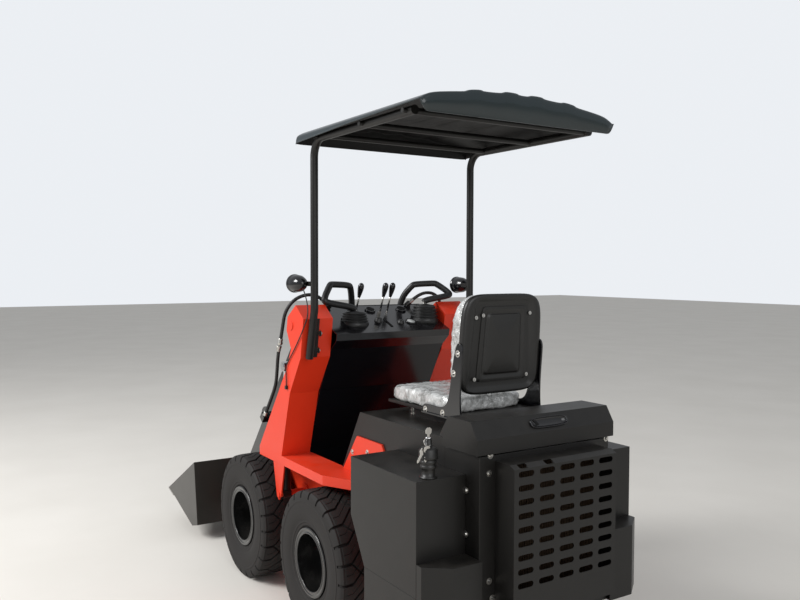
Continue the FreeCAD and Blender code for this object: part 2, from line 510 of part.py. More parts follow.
eye_head = round_bar("eye_ear", "TiltEye", "Y", tilt_ear_y, x=tilt_end[0], z=tilt_end[1], length="EarPlate + 4")
half = pin_ears + [bucket_pin, eye_ear, eye_head]
keep("quick_attach", fused("quick_attach", [quick] + half + [mirrored("quick", piece) for piece in half]))

# Engine box under the seat, with the engine as one block.
box_outer = plate("engine_box", "XZ", "-FrameHalf", "2 * FrameHalf", [
    (mid("-310"), "FloorHeight"), (mid("-310"), "FrameTop"), (mid("-462"), "BoxTop"), (mid("-FrameRear"), "BoxTop"),
    (mid("-FrameRear"), "FrameTop"), (mid("-313"), "FrameTop"), (mid("-313"), "FloorHeight")])
box_inner = plate("engine_box", "XZ", "-FrameHalf + SheetSteel", "2 * (FrameHalf - SheetSteel)", [
    (mid("-314"), "FrameTop - 1"), (mid("-464"), "BoxTop - SheetSteel"), (mid("-FrameRear + SheetSteel"), "BoxTop - SheetSteel"),
    (mid("-FrameRear + SheetSteel"), "FrameTop - 1")])
box_trim = [block("engine_box", [mid("-320"), low, "FloorHeight - 1"], [mid("-300"), high, "FrameTop"])
            for low, high in (("FrameHalf - FramePlate", "FrameHalf + 1"), ("-FrameHalf - 1", "-FrameHalf + FramePlate"))]
box_shell = cut("engine_box", cut("engine_box", box_outer, box_inner), fused("engine_box", box_trim))
keep("engine_block", block("engine_block", [mid("-960"), "-190", "FrameBottom + FramePlate"], [mid("-560"), "190", "FrameTop - 40"]))

# Rear cabinet: a plate frame that carries the radiator, the grille and the lid.
cabinet = block("cabinet", [mid("-CabinetRear"), "-FrameHalf", "CabinetBottom"], [mid("-FrameRear"), "FrameHalf", "CabinetTop"])
cabinet_room = block("cabinet", [mid("-CabinetRear + CabinetPlate"), "-FrameHalf + CabinetPlate", "CabinetBottom + CabinetPlate"],
                     [mid("-FrameRear + 1"), "FrameHalf - CabinetPlate", "CabinetTop - CabinetPlate"])
cabinet_mouth = block("cabinet", [mid("-CabinetRear - 1"), "-GrilleHalf + 20", "GrilleBottom + 20"],
                      [mid("-CabinetRear + CabinetPlate + 1"), "GrilleHalf - 20", "GrilleTop - 20"])
keep("rear_cabinet", cut("cabinet", cut("cabinet", cabinet, cabinet_room), cabinet_mouth))
keep("radiator", block("radiator", [mid("-CabinetRear + CabinetPlate"), "-GrilleHalf + 10", "CabinetBottom + CabinetPlate"],
                       [mid("-CabinetRear + CabinetPlate + 40"), "GrilleHalf - 10", "GrilleTop"]))

grille_outer = block("grille", [mid("-GrilleRear"), "-GrilleHalf", "GrilleBottom"], [mid("-CabinetRear"), "GrilleHalf", "GrilleTop"])
grille_inner = block("grille", [mid("-GrilleRear + SheetSteel"), "-GrilleHalf + SheetSteel", "GrilleBottom + SheetSteel"],
                     [mid("-CabinetRear + 1"), "GrilleHalf - SheetSteel", "GrilleTop - SheetSteel"])
keep("grille", cut("grille", grille_outer, grille_inner))

# Lid over the rear cabinet, hinged along its front edge.
lid_outer = plate("lid", "XZ", "-LidHalf", "2 * LidHalf", corners_of("Lid") + [(mid("LidFrontX"), "LidLipZ")])
lid_inner = plate("lid", "XZ", "-LidHalf + LidSheet", "2 * (LidHalf - LidSheet)", [
    (mid("LidFrontX - 5"), "LidFrontZ"), *corners_of("Lid", "TopFront", "TopRear", dz="-LidSheet"),
    *corners_of("Lid", "Slope", "Lip", dx="LidSheet", dz="-1"), (mid("LidFrontX - 5"), "LidLipZ - 1")])
lid_front_gap = block("lid", [mid("LidHingeX - 20"), "-LidHalf - 1", "LidLipZ - 1"], [mid("LidHingeX + 40"), "LidHalf + 1", "LidHingeZ - 2"])
lid_knuckles = []
fixed_knuckles = []
notches = []
for place in ("-HingePlace", "HingePlace"):
    lid_knuckles.append(round_bar("lid", "HingeRadius", "Y", f"{place} - HingeLength / 2", x=mid("LidHingeX"), z="LidHingeZ", length="HingeLength"))
    notches.append(block("lid", [mid("LidHingeX - 12"), f"{place} - 1.5 * HingeLength - 1", "LidHingeZ - 12"],
                         [mid("LidHingeX + 9"), f"{place} + 1.5 * HingeLength + 1", "LidHingeZ + 9"]))
    for start in (f"{place} - 1.5 * HingeLength", f"{place} + HingeLength / 2 + RunningGap"):
        fixed_knuckles.append(round_bar("box_hinge", "HingeRadius", "Y", start, x=mid("LidHingeX"), z="LidHingeZ", length="HingeLength - RunningGap"))
        fixed_knuckles.append(block("box_hinge", [mid("LidHingeX - HingeRadius"), start, "BoxTop"],
                                    [mid("LidHingeX + HingeRadius"), f"{start} + HingeLength - RunningGap", "LidHingeZ"]))
    fixed_knuckles.append(round_bar("box_hinge", "HingePin", "Y", f"{place} - 1.5 * HingeLength", x=mid("LidHingeX"), z="LidHingeZ", length="3 * HingeLength"))
lid_bore = round_bar("lid", "HingePin + RunningGap", "Y", "-LidHalf", x=mid("LidHingeX"), z="LidHingeZ", length="2 * LidHalf")
lid_web = [block("lid", [mid("LidFrontX - 6"), f"{place} - HingeLength / 2", "LidHingeZ + 2"],
                 [mid("LidHingeX"), f"{place} + HingeLength / 2", "LidFrontZ + 5"]) for place in ("-HingePlace", "HingePlace")]
lid_shell = cut("lid", cut("lid", lid_outer, lid_inner), fused("lid", [lid_front_gap] + notches))
keep("hood_lid", cut("lid", fused("lid", [lid_shell] + lid_knuckles + lid_web), lid_bore))
keep("engine_box", fused("engine_box", [box_shell] + fixed_knuckles))

# Side tanks: folded sheet boxes beside the engine, closed by the engine box.


def tank_side(inset):
    """The tank's side outline, drawn in by an inset."""
    return [(mid(f"-TankFront - {inset}"), f"TankTop - {inset}"), (mid(f"-TankFront - {inset}"), f"TankNose + {inset} * 0.3"),
            (mid(f"-TankFoot - {inset} * 0.6"), f"SeamHeight + {inset}"), (mid(f"-TankRear + {inset}"), f"SeamHeight + {inset}"),
            (mid(f"-TankRear + {inset}"), f"TankTop - {inset}")]


tank_outer = plate("side_tank", "XZ", "FrameHalf", "TankOuter - FrameHalf", tank_side("0"))
tank_inner = plate("side_tank", "XZ", "FrameHalf - 1", "TankOuter - FrameHalf + 1 - SheetSteel", tank_side("SheetSteel"))
keep_pair("side_tank", cut("side_tank", tank_outer, tank_inner))

# Side bumpers: a lower box below the tank and a raised ledge behind it, open towards the frame.


def bumper_plan(front, inset):
    """The bumper's plan, drawn in by an inset everywhere but towards the frame."""
    return [(mid(f"{front} - {inset}"), f"FrameHalf - {inset}"), (mid(f"{front} - {inset}"), f"TankOuter - {inset}"),
            (mid(f"-BumperTurn + {inset} * 0.6"), f"TankOuter - {inset}"),
            (mid(f"-BumperRear + {inset}"), f"TankOuter - BumperCorner - {inset} * 0.6"),
            (mid(f"-BumperRear + {inset}"), f"FrameHalf - {inset}")]


bumper_outer = fused("bumper", [
    plate("bumper", "XY", "BumperBottom", "SeamHeight - BumperBottom", bumper_plan("-TankFoot", "0")),
    plate("bumper", "XY", "SeamHeight", "LedgeTop - SeamHeight", bumper_plan("-TankRear", "0"))])
bumper_inner = fused("bumper", [
    plate("bumper", "XY", "BumperBottom + BumperPlate", "SeamHeight - BumperBottom - 2 * BumperPlate", bumper_plan("-TankFoot", "BumperPlate")),
    plate("bumper", "XY", "SeamHeight - BumperPlate - 1", "LedgeTop - SeamHeight + 1", bumper_plan("-TankRear", "BumperPlate"))])
keep_pair("bumper", cut("bumper", bumper_outer, bumper_inner))

# Seat: base, cushions, shell and the side brackets.
seat_riser = block("seat_base", [mid("-980"), "-SeatHalf + 30", "BoxTop"], [mid("-560"), "SeatHalf - 30", "SeatBaseHeight - 19"])
seat_pan = block("seat_base", [mid("-990"), "-SeatHalf", "SeatBaseHeight - 20"], [mid("-530"), "SeatHalf", "SeatBaseHeight"])
keep("seat_base", fused("seat_base", [seat_riser, seat_pan]))
keep("seat_cushion", block("seat_cushion", [mid("-975"), "-SeatHalf", "SeatBaseHeight + SeatGap"], [mid("-510"), "SeatHalf", "SeatBaseHeight + 65"]))
keep("back_shell", plate("back_shell", "XZ", "-SeatHalf", "2 * SeatHalf", [
    (mid("-990"), "1035"), (mid("-1012"), "1035"), (mid("-1055"), "1430"), (mid("-1033"), "1430")]))
keep("back_cushion", plate("back_cushion", "XZ", "-SeatHalf", "2 * SeatHalf", [
    (mid("-920"), "1040"), (mid("-989"), "1040"), (mid("-1031"), "1425"), (mid("-975"), "1425")]))
keep_both("seat_brackets", plate("seat_bracket", "XZ", "SeatHalf", "BracketPlate", [
    (mid("-815"), "SeatBaseHeight - 20"), (mid("-990"), "SeatBaseHeight - 20"), (mid("-1030"), "1010"), (mid("-1092"), "1230"), (mid("-1070"), "1248"),
    (mid("-1044"), "1235"), (mid("-1000"), "1070"), (mid("-960"), "1005"), (mid("-815"), "985")]))

# Canopy: two bent posts that run back under the roof, cross bars and the roof sheet.
post_x = size("AxleMid") + size("PostX")
post_y = size("PostY")
rail_z = size("RimHeight") + 12
rail_rear = size("AxleMid") - size("RoofRear") + 90
post = bent_tube("post", [(post_x + 50, post_y, 1119), (post_x, post_y, 1330), (post_x, post_y, rail_z), (rail_rear, post_y, rail_z)],
                 size("PostRadius"), 75)
post_foot = plate("post", "XZ", "PostY - 45", "45", [
    *corners_of("Tower", "Back", "Top"), *corners_of("Tower", "Top", "Back", dx="-6")])
spacers = [round_bar("post", "SpacerRadius", "Y", "PostY", x=mid(place), z="RimHeight + 12", length="RoofHalf * 0.985 - 2.9 - PostY")
           for place in ("-330", "-700", "-1000")]
left_post = fused("post", [post, post_foot] + spacers)
cross_bars = [round_bar("cross_bar", "CrossBar", "Y", "-PostY", x=mid(place), z="RimHeight + 12", length="2 * PostY")
              for place in ("-380", "-690", "-1010")]
keep("canopy_posts", fused("canopy_posts", [left_post, mirrored("post", left_post)] + cross_bars))
roof_half_profile = [("RoofHalf", "RimHeight"), ("RoofHalf - 4", "RimHeight + 34"), ("RoofHalf - 60", "RimHeight + 62"),
                     ("RoofHalf - 220", "RimHeight + RoofCrown - 10")]
roof_top = roof_half_profile + [("0", "RimHeight + RoofCrown")] + [(f"-({y})", z) for y, z in roof_half_profile[::-1]]
roof_under = [(f"({y}) * 0.985", f"{z} - RoofSheet" if k else z) for k, (y, z) in enumerate(roof_half_profile)]
roof_under = roof_under + [("0", "RimHeight + RoofCrown - RoofSheet")] + [(f"-({y})", z) for y, z in roof_under[::-1]]
keep("canopy_roof", plate("roof", "YZ", mid("-RoofRear"), "RoofRear + RoofFront", roof_top + roof_under[::-1]))

# Travel levers: bent handles over bellows, with their inboard feet on the sloping deck.
deck_slope = "(ConsoleCrestZ - ConsoleLipZ) / (ConsoleCrestX - ConsoleLipX)"


def deck_height(x):
    """The deck's height at a place counted from the middle between the axles."""
    return f"ConsoleLipZ + (({x}) - ConsoleLipX) * {deck_slope}"


below_deck = plate("below_deck", "XZ", *console_half, corners_of("Console", "Lip", "Crest") + [(mid("30"), "ConsoleCrestZ"), (mid("30"), "1100"),
                                                                                          (mid("ConsoleLipX"), "1100")])
lever_x = size("AxleMid") + size("LeverX")
levers = []
bellows = []
for side, sign in (("Left", 1), ("Right", -1)):
    lever_y = size(f"Lever{side}Y")
    route = [(lever_x, lever_y, 1356), (lever_x, lever_y + sign * 172, 1372), (lever_x + 50, lever_y + sign * 108, 1430),
             (lever_x + 75, lever_y - sign * 12, 1424), (lever_x + 120, lever_y - sign * 52, 1300)]
    stem = round_bar("lever", "LeverStem", "Z", "1280", x=mid("LeverX"), y=f"Lever{side}Y", length="76")
    levers.append(cut("lever", fused("lever", [bent_tube("lever", route, size("LeverTube"), 24), stem]), below_deck))
    cone = lathe("bellows", [("LeverStem + SeatGap", "ConsoleLipZ"), ("BellowsRadius", "ConsoleLipZ"), ("BellowsRadius - 3", "ConsoleLipZ + 68"), ("42", "ConsoleLipZ + 114"),
                             ("LeverStem + SeatGap", "ConsoleLipZ + 114")], mid("LeverX"), f"Lever{side}Y", "0", axis="Z")
    bellows.append(cut("bellows", cone, below_deck))
keep("travel_levers", grouped("travel_levers", levers))
keep("lever_bellows", grouped("lever_bellows", bellows))

# Small levers with tapered knobs along the deck's front edge.
knob_levers = [cut("knob_lever", lathe("knob_lever", [
    ("0", "1290"), ("StemRadius", "1290"), ("StemRadius", "1366"), ("8", "1368"), ("14", "1405"), ("13", "1428"), ("8", "1434"), ("0", "1434")],
    mid(x), y, "0", axis="Z"), below_deck) for x, y in (("-42", "52"), ("-40", "-66"), ("-46", "-100"))]
keep("knob_levers", grouped("knob_levers", knob_levers))

# Gauges, buttons and the key switch on the deck: discs square to it.
instruments = []
for x, y, radius, height in (("-169", "-138", "26", "6"), ("-177", "-84", "17", "12"), ("-62", "-140", "26", "9"), ("-56", "14", "26", "9"),
                             ("-176", "62", "15", "16")):
    disc = round_bar("instrument", radius, "Z", deck_height(x), x=mid(x), y=y, length=height)
    disc.Placement = FreeCAD.Placement(FreeCAD.Vector(), FreeCAD.Rotation(FreeCAD.Vector(0, -1, 0), 1))
    disc.setExpression("Placement.Rotation.Angle", bind("atan2(ConsoleCrestZ - ConsoleLipZ; ConsoleCrestX - ConsoleLipX)"))
    instruments.append(disc)
keep("instruments", grouped("instruments", instruments))

# Fuel filler on the left tank: a neck and its cap.
filler_neck = round_bar("fuel_filler", "FillerNeck", "Z", "TankTop", x=mid("-FillerX"), y="FillerY", length="90")
filler_cap = round_bar("fuel_filler", "FillerCap", "Z", "TankTop + 86", x=mid("-FillerX"), y="FillerY", length="30")
keep("fuel_filler", fused("fuel_filler", [filler_neck, filler_cap]))

# Work lamps facing forward on short arms from the posts.
lamp = lathe("lamp", [("-60", "0"), ("-56", "16"), ("-40", "31"), ("-10", "41"), ("18", "41"), ("18", "0")],
             mid("LampX"), "LampY", "LampZ", axis="X")
lamp_arm = block("lamp", [mid("PostX + PostRadius"), "PostY - 4", "LampZ - 12"], [mid("LampX - 34"), "PostY + 4", "LampZ + 12"])
keep_both("work_lamps", fused("lamp", [lamp, lamp_arm]))

# Hoses on each side: from the deck over the tower to a free coupling in front of the pivot,
# and from a second coupling along the boom to its port block.


def middle_point(x, y, z):
    """A point counted from the middle between the axles, as numbers."""
    return (size("AxleMid") + x, y, z)


def boom_point(distance, rise, y):
    """A point beside the boom, as numbers: its distance from the pivot along the boom and its rise."""
    slope = math.radians(size("BoomSlope"))
    return middle_point(size("PivotX") + distance * math.cos(slope) + rise * math.sin(slope), y,
                        size("PivotZ") - distance * math.sin(slope) + rise * math.cos(slope))


DECK_HOSE = [(-24, 227, 1340), (-33, 260, 1368), (-40, 303, 1387), (-38, 355, 1385), (-26, 402, 1359),
             (-5, 429, 1307), (21, 429, 1236), (48, 428, 1168)]
hose_root = [middle_point(*point) for point in DECK_HOSE]
hose_y = size("BoomInner") + size("BoomWidth") + size("HoseOut")
hose_rise = size("HoseRise")
hose_end = size("HoseEnd")
hose_on_arm = [middle_point(60, 428, 1147), boom_point(240, 40, 424), boom_point(315, 24, 412), boom_point(395, 12, hose_y + 3),
               boom_point(hose_end - 107, hose_rise, hose_y), boom_point(hose_end, hose_rise, hose_y)]
keep_pair("hose", bent_tube("hose", hose_root, size("HoseRadius")))
keep_pair("hose_arm", bent_tube("hose_arm", hose_on_arm, size("HoseRadius")))

# Collars where the hoses leave the deck, and the clip at the end of the lamp's cable.
collar_from = [root - (after - root) * 0.5 for root, after in zip(hose_root[0], hose_root[1])]
collar = cut("hose_collar", bent_tube("hose_collar", [collar_from, hose_root[0]], size("HoseRadius") + 5), below_deck)
cable_end = middle_point(-58, size("TowerOuter") + 5, 985)
clip = block("cable_clip", [str(cable_end[0] - 7), "TowerOuter", str(cable_end[2] - 16)],
             [str(cable_end[0] + 7), "TowerOuter + 10", str(cable_end[2])])
keep("hose_collars", grouped("hose_collars", [collar, mirrored("hose_collar", collar), clip]))

# The left lamp's cable: down the post and across the tower's outer plate.
LAMP_CABLE = [(-212, 437, 1418), (-234, 436, 1388), (-254, 436, 1346), (-262, 440, 1300), (-238, 448, 1252),
              (-190, 447, 1200), (-138, 447, 1148), (-90, 447, 1106), (-52, 447, 1066), (-58, 447, 1022)]
lamp_cable = [middle_point(*point) for point in LAMP_CABLE] + [cable_end]
keep("lamp_cable", bent_tube("lamp_cable", lamp_cable, size("CableRadius")))

doc.recompute()
failed = [f"{thing.Name}: {thing.State}" for thing in doc.Objects if "Invalid" in thing.State or "Error" in thing.State]
for node, thing in nodes.items():
    if thing.Shape.isNull() or not thing.Shape.isValid() or not thing.Shape.Solids:
        failed.append(f"{node}: no valid solid")
if failed:
    raise RuntimeError("; ".join(failed))

os.makedirs("parts", exist_ok=True)
for node, thing in nodes.items():
    thing.Shape.exportStep(f"parts/{node}.step")
print(len(nodes), "nodes written")
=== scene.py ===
import math
import bmesh
import bpy
from mathutils import Matrix, Vector, noise


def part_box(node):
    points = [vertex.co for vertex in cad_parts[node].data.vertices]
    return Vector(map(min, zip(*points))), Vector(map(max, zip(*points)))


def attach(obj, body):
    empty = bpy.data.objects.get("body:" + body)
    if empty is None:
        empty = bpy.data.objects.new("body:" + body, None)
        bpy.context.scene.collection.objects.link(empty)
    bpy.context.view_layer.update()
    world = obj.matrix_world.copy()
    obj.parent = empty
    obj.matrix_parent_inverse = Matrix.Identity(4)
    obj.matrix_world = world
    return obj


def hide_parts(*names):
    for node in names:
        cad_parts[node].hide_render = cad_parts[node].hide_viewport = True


# %% [markdown]
# A compact skid steer loader is a machine of folded steel sheet: two red towers carry the lift arms,
# a console stands between them, and the driver sits over the engine with a moulded canopy overhead.
# The rigid shapes come from the CAD frame. This lesson dresses them: paint, rubber, plastic film,
# tread, bolts and hoses. Everything is in metres, in the CAD frame: +X forward, +Y left, +Z up.

# %% Load the frame and keep its size
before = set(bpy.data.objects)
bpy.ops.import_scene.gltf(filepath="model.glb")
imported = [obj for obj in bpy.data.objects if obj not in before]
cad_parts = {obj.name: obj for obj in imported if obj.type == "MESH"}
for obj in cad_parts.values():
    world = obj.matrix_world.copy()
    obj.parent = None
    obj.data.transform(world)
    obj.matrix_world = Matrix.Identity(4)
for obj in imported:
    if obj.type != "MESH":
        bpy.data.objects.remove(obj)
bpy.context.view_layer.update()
scene = bpy.context.scene
scene.view_settings.view_transform = "Standard"
SIDES = (("left", 1), ("right", -1))
AXLES = (("front", 1), ("rear", -1))
AXLE_MID = -0.070


def place(x, y, z):
    """A point in millimetres from the middle between the axles, as metres in the frame."""
    return Vector((x / 1000 + AXLE_MID, y / 1000, z / 1000))


# %% [markdown]
# Shader maths reads best as plain formulas. The small class below wraps one node socket, and its
# operators add Math nodes, so a mask can be written as (cloud - 0.4) * 3. Every other node comes from
# one method that takes the node's type, its settings and the values or links of its sockets. The same
# class serves Geometry Nodes, where a socket may carry a whole mesh.

# %% A socket that can be used in formulas


class Wire:
    """One output socket of a node tree, with arithmetic."""

    def __init__(self, tree, socket):
        self.tree = tree
        self.socket = socket

    def node(self, kind, settings=(), out=0, **inputs):
        """Any node: its settings first, then its inputs by name or number, and the output that is wanted."""
        made = self.tree.nodes.new(kind)
        for key, value in dict(settings).items():
            setattr(made, key, value)
        for key, value in inputs.items():
            socket = made.inputs[int(key[1:]) if key[1:].isdigit() else key.replace("_", " ")]
            if isinstance(value, Wire):
                self.tree.links.new(value.socket, socket)
            else:
                socket.default_value = value
        return Wire(self.tree, made.outputs[out])

    def math(self, operation, *others):
        values = {f"i{k}": value for k, value in enumerate((self, *others))}
        return self.node("ShaderNodeMath", {"operation": operation}, **values)

    def __add__(self, other):
        return self.math("ADD", other)

    def __mul__(self, other):
        return self.math("MULTIPLY", other)

    def __sub__(self, other):
        return self.math("SUBTRACT", other)

    def __rsub__(self, other):
        return self * -1 + other

    __radd__ = __add__
    __rmul__ = __mul__

    def clamp(self):
        return self.node("ShaderNodeClamp", Value=self)

    def ramp(self, low, high):
        """0 below low, 1 above high, and straight between them."""
        return self.node("ShaderNodeMapRange", {"clamp": True}, Value=self, From_Min=low, From_Max=high)

    def mix(self, first, second):
        """A colour between two colours, by this value."""
        colours = [c if isinstance(c, Wire) else (*c, 1) for c in (first, second)]
        return self.node("ShaderNodeMix", {"data_type": "RGBA"}, out=2, i0=self, i6=colours[0], i7=colours[1])


def noise_of(where, scale, detail=3.0, rough=0.55):
    """Noise between 0 and 1 at a place, with a scale per metre."""
    return where.node("ShaderNodeTexNoise", Vector=where, Scale=scale, Detail=detail, Roughness=rough)


def blank_material(name):
    """A new material, its shader node and a wire with the object's coordinates."""
    made = bpy.data.materials.new(name)
    made.use_nodes = True
    shader = made.node_tree.nodes["Principled BSDF"]
    coordinates = made.node_tree.nodes.new("ShaderNodeTexCoord")
    return made, shader, Wire(made.node_tree, coordinates.outputs["Object"])


def feed(shader, **values):
    """Link wires to the shader's sockets, or set the sockets to values."""
    for key, value in values.items():
        socket = shader.inputs[key.replace("_", " ")]
        if isinstance(value, Wire):
            value.tree.links.new(value.socket, socket)
        else:
            socket.default_value = value


def bumped(height, strength, distance):
    """The normal of a surface that a height lifts."""
    return height.node("ShaderNodeBump", Strength=strength, Distance=distance, Height=height)


# %% [markdown]
# Paint on sheet steel is never one flat colour. Powder coat has a fine orange peel, a thin film of
# yard dust lies on what faces up, and the colour is a little uneven. One function makes every painted
# finish from its colour, its gloss and how much dust lies on it. A second one makes rubber, plastic
# and bare metal, which have a finer grain and no dust.

# %% Painted sheet, metal, rubber and plastic
DUST = (0.26, 0.235, 0.20)


def painted(name, colour, roughness, peel=0.25, dust=0.35, coat=0.0, mottle=0.12, gloss=0.5):
    """Paint with orange peel, a mottled colour and dust on faces that look up."""
    made, shader, where = blank_material(name)
    cloud = noise_of(where, 3.0, 4.0)
    smear = noise_of(where, 14.0, 5.0, 0.65)
    darker = tuple(c * (1 - mottle) for c in colour)
    lighter = tuple(c * (1 + mottle * 0.5) for c in colour)
    facing = where.node("ShaderNodeNewGeometry", out=1)
    up = facing.node("ShaderNodeSeparateXYZ", out=2, Vector=facing).ramp(0.35, 1.0)
    dusty = up * smear.ramp(0.35, 0.75) * dust
    feed(shader, Base_Color=dusty.mix(cloud.ramp(0.3, 0.7).mix(darker, lighter), DUST),
         Roughness=(dusty * 0.35 + smear * 0.10 + (roughness - 0.05)).clamp(),
         Normal=bumped(noise_of(where, 420.0, 2.0), peel, 0.0004),
         Coat_Weight=coat, Coat_Roughness=0.12, Specular_IOR_Level=gloss)
    return made


def plain(name, colour, roughness, metallic=0.0, grain_scale=300.0, grain=0.15, spread=0.1, gloss=0.5):
    """Bare metal, rubber or plastic with a fine grain and a slightly uneven gloss."""
    made, shader, where = blank_material(name)
    cloud = noise_of(where, 9.0, 4.0)
    feed(shader, Base_Color=cloud.ramp(0.3, 0.7).mix(tuple(c * 0.85 for c in colour), colour),
         Roughness=(cloud * spread + (roughness - spread / 2)).clamp(),
         Normal=bumped(noise_of(where, grain_scale, 3.0), grain, 0.0005),
         Metallic=metallic, Specular_IOR_Level=gloss)
    return made


red_paint = painted("red_paint", (0.72, 0.040, 0.012), 0.36, dust=0.10, mottle=0.06, gloss=0.4)
black_sheet = painted("black_sheet", (0.0085, 0.0078, 0.0070), 0.40, peel=0.45, dust=0.07, gloss=0.38)
black_gloss = painted("black_gloss", (0.0045, 0.0045, 0.0060), 0.16, peel=0.10, dust=0.03, coat=0.25)
rim_paint = painted("rim_paint", (0.008, 0.008, 0.008), 0.22, dust=0.05, coat=0.4)
roof_shell = painted("roof_shell", (0.006, 0.015, 0.018), 0.20, peel=0.06, dust=0.03, coat=0.35)
roof_inside = painted("roof_inside", (0.010, 0.010, 0.010), 0.55, peel=0.3, dust=0.0, gloss=0.25)
bucket_paint = painted("bucket_paint", (0.034, 0.031, 0.027), 0.30, peel=0.2, dust=0.05, gloss=0.5)
tread_rubber = plain("tread_rubber", (0.017, 0.0150, 0.0140), 0.72, grain_scale=160.0, grain=0.3, gloss=0.35)
soft_rubber = plain("soft_rubber", (0.009, 0.009, 0.009), 0.42)
hose_rubber = plain("hose_rubber", (0.012, 0.012, 0.012), 0.5, grain_scale=500.0)
black_plastic = plain("black_plastic", (0.011, 0.0105, 0.0095), 0.40, grain_scale=700.0, grain=0.3)
bare_steel = plain("bare_steel", (0.50, 0.49, 0.47), 0.35, metallic=1.0, spread=0.2)
zinc = plain("zinc", (0.66, 0.64, 0.60), 0.30, metallic=1.0, spread=0.2)
chrome = plain("chrome", (0.75, 0.75, 0.76), 0.10, metallic=1.0, grain=0.03)
brass_fins = plain("brass_fins", (0.10, 0.065, 0.04), 0.5, metallic=0.6)
# Near black and dull: the own colour of the latch and two gauge faces, and painted shade where it stands for the
# dark inside the engine box, behind the grille and in a slot of the deck.
dark_inside = plain("dark_inside", (0.006, 0.006, 0.006), 0.8, gloss=0.2)
dial_face = plain("dial_face", (0.55, 0.56, 0.55), 0.4)
clear_glass = plain("clear_glass", (0.35, 0.37, 0.38), 0.08, metallic=0.5, grain=0.02)

NODE_FINISH = {
    red_paint: ["chassis_frame", "step_left", "step_right", "tower_left", "tower_right", "lift_brackets"],
    black_gloss: ["console_top", "console_panel_upper", "console_panel_lower", "foot_panel", "front_cowl",
                  "lift_arms", "quick_attach"],
    bucket_paint: ["bucket"],
    black_sheet: ["axle_housings", "foot_floor", "engine_box", "rear_cabinet", "grille", "hood_lid",
                  "side_tank_left", "side_tank_right", "bumper_left", "bumper_right", "seat_base",
                  "seat_brackets", "canopy_posts", "lift_barrel_left", "lift_barrel_right", "tilt_barrel"],
    rim_paint: [f"rim_{axle}_{side}" for axle, _ in AXLES for side, _ in SIDES],
    soft_rubber: ["lever_bellows"],
    black_plastic: ["travel_levers", "knob_levers", "instruments", "work_lamps", "fuel_filler",
                    "hose_collars"],
    bare_steel: ["cutting_edge"],
    chrome: ["lift_rod_left", "lift_rod_right", "tilt_rod"],
    # The engine block and the radiator are near black as painted shade inside the engine box and behind the grille.
    dark_inside: ["engine_block", "radiator"],
}
for finish, names in NODE_FINISH.items():
    for name in names:
        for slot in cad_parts[name].material_slots:
            slot.material = finish
print("finished nodes", sum(len(names) for names in NODE_FINISH.values()), "of", len(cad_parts))

# %% [markdown]
# Folded sheet has a small round at each bend, and that round is what catches the light. The CAD mesh
# is loose triangles with sharp edges, so it is welded and its edges get a narrow bevel, both as
# modifiers, which leave the frame's own mesh as it is.

# %% Soft edges on folded sheet
WELD_GAP = 0.00002
SHEET_NODES = ("chassis_frame", "step_left", "step_right", "tower_left", "tower_right", "engine_box",
               "hood_lid", "side_tank_left", "bumper_left", "bumper_right", "rear_cabinet")
PLATE_NODES = ("lift_arms", "bucket", "quick_attach", "seat_brackets", "seat_base")


def round_edges(made, width, angle=30, segments=3, harden=True):
    """A bevel on the edges that turn by more than an angle in degrees."""
    rounding = made.modifiers.new("round_edges", "BEVEL")
    rounding.width = width
    rounding.segments = segments
    rounding.limit_method = "ANGLE"
    rounding.angle_limit = math.radians(angle)
    rounding.harden_normals = harden


for names, width in ((SHEET_NODES, 0.002), (PLATE_NODES, 0.0015)):
    for name in names:
        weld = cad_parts[name].modifiers.new("weld", "WELD")
        weld.merge_threshold = WELD_GAP
        round_edges(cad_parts[name], width, angle=35, segments=2)
print("softened nodes", len(SHEET_NODES) + len(PLATE_NODES))

# %% [markdown]
# Own pieces need a few ways to make a mesh. A loft joins rings of points into a skin, which serves
# turned parts, sheets and cushions alike. Each piece ends as one object at the origin, with its place
# in its mesh, its normals pointing out, and a body of the machine that it rides on.

# %% Making meshes
SAME_POINT = 1e-6


def cleaned(mesh, gap):
    """Merge points that are closer than a gap, and turn the normals of a closed mesh outwards."""
    work = bmesh.new()
    work.from_mesh(mesh)
    bmesh.ops.remove_doubles(work, verts=work.verts, dist=gap)
    bmesh.ops.recalc_face_normals(work, faces=work.faces)
    work.to_mesh(mesh)
    work.free()


def piece(name, verts, faces, finish, body="machine", smooth=True):
    """A mesh object at the origin that rides on a body."""
    mesh = bpy.data.meshes.new(name)
    mesh.from_pydata([tuple(v) for v in verts], [], faces)
    cleaned(mesh, SAME_POINT)
    mesh.materials.append(finish)
    if smooth:
        mesh.shade_smooth()
    else:
        mesh.shade_flat()
    made = bpy.data.objects.new(name, mesh)
    scene.collection.objects.link(made)
    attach(made, body)
    return made


def loft(rings, close_ring=True, caps=False):
    """Points and quads that join rings with equal counts."""
    count = len(rings[0])
    verts = [point for ring in rings for point in ring]
    faces = []
    for r in range(len(rings) - 1):
        here, there = r * count, (r + 1) * count
        for k in range(count if close_ring else count - 1):
            after = (k + 1) % count
            faces.append((here + k, here + after, there + after, there + k))
    if caps:
        faces += [tuple(range(count))[::-1], tuple(range((len(rings) - 1) * count, len(rings) * count))]
    return verts, faces


def turned(name, outline, foot, direction, finish, body="machine", steps=48, closed=False):
    """An outline of (distance, radius) turned about a line from a foot point."""
    direction = Vector(direction).normalized()
    first = direction.orthogonal().normalized()
    second = direction.cross(first).normalized()
    rings = []
    for distance, radius in outline + (outline[:1] if closed else []):
        centre = Vector(foot) + direction * distance
        ring = []
        for k in range(steps):
            turn = k * math.tau / steps
            away = first * math.cos(turn) + second * math.sin(turn)
            ring.append(centre + away * max(radius, SAME_POINT / 10))
        rings.append(ring)
    return piece(name, *loft(rings), finish, body)


def rod(radius, length):
    """The outline of a round rod."""
    return [(0, 0), (0, radius), (length, radius), (length, 0)]


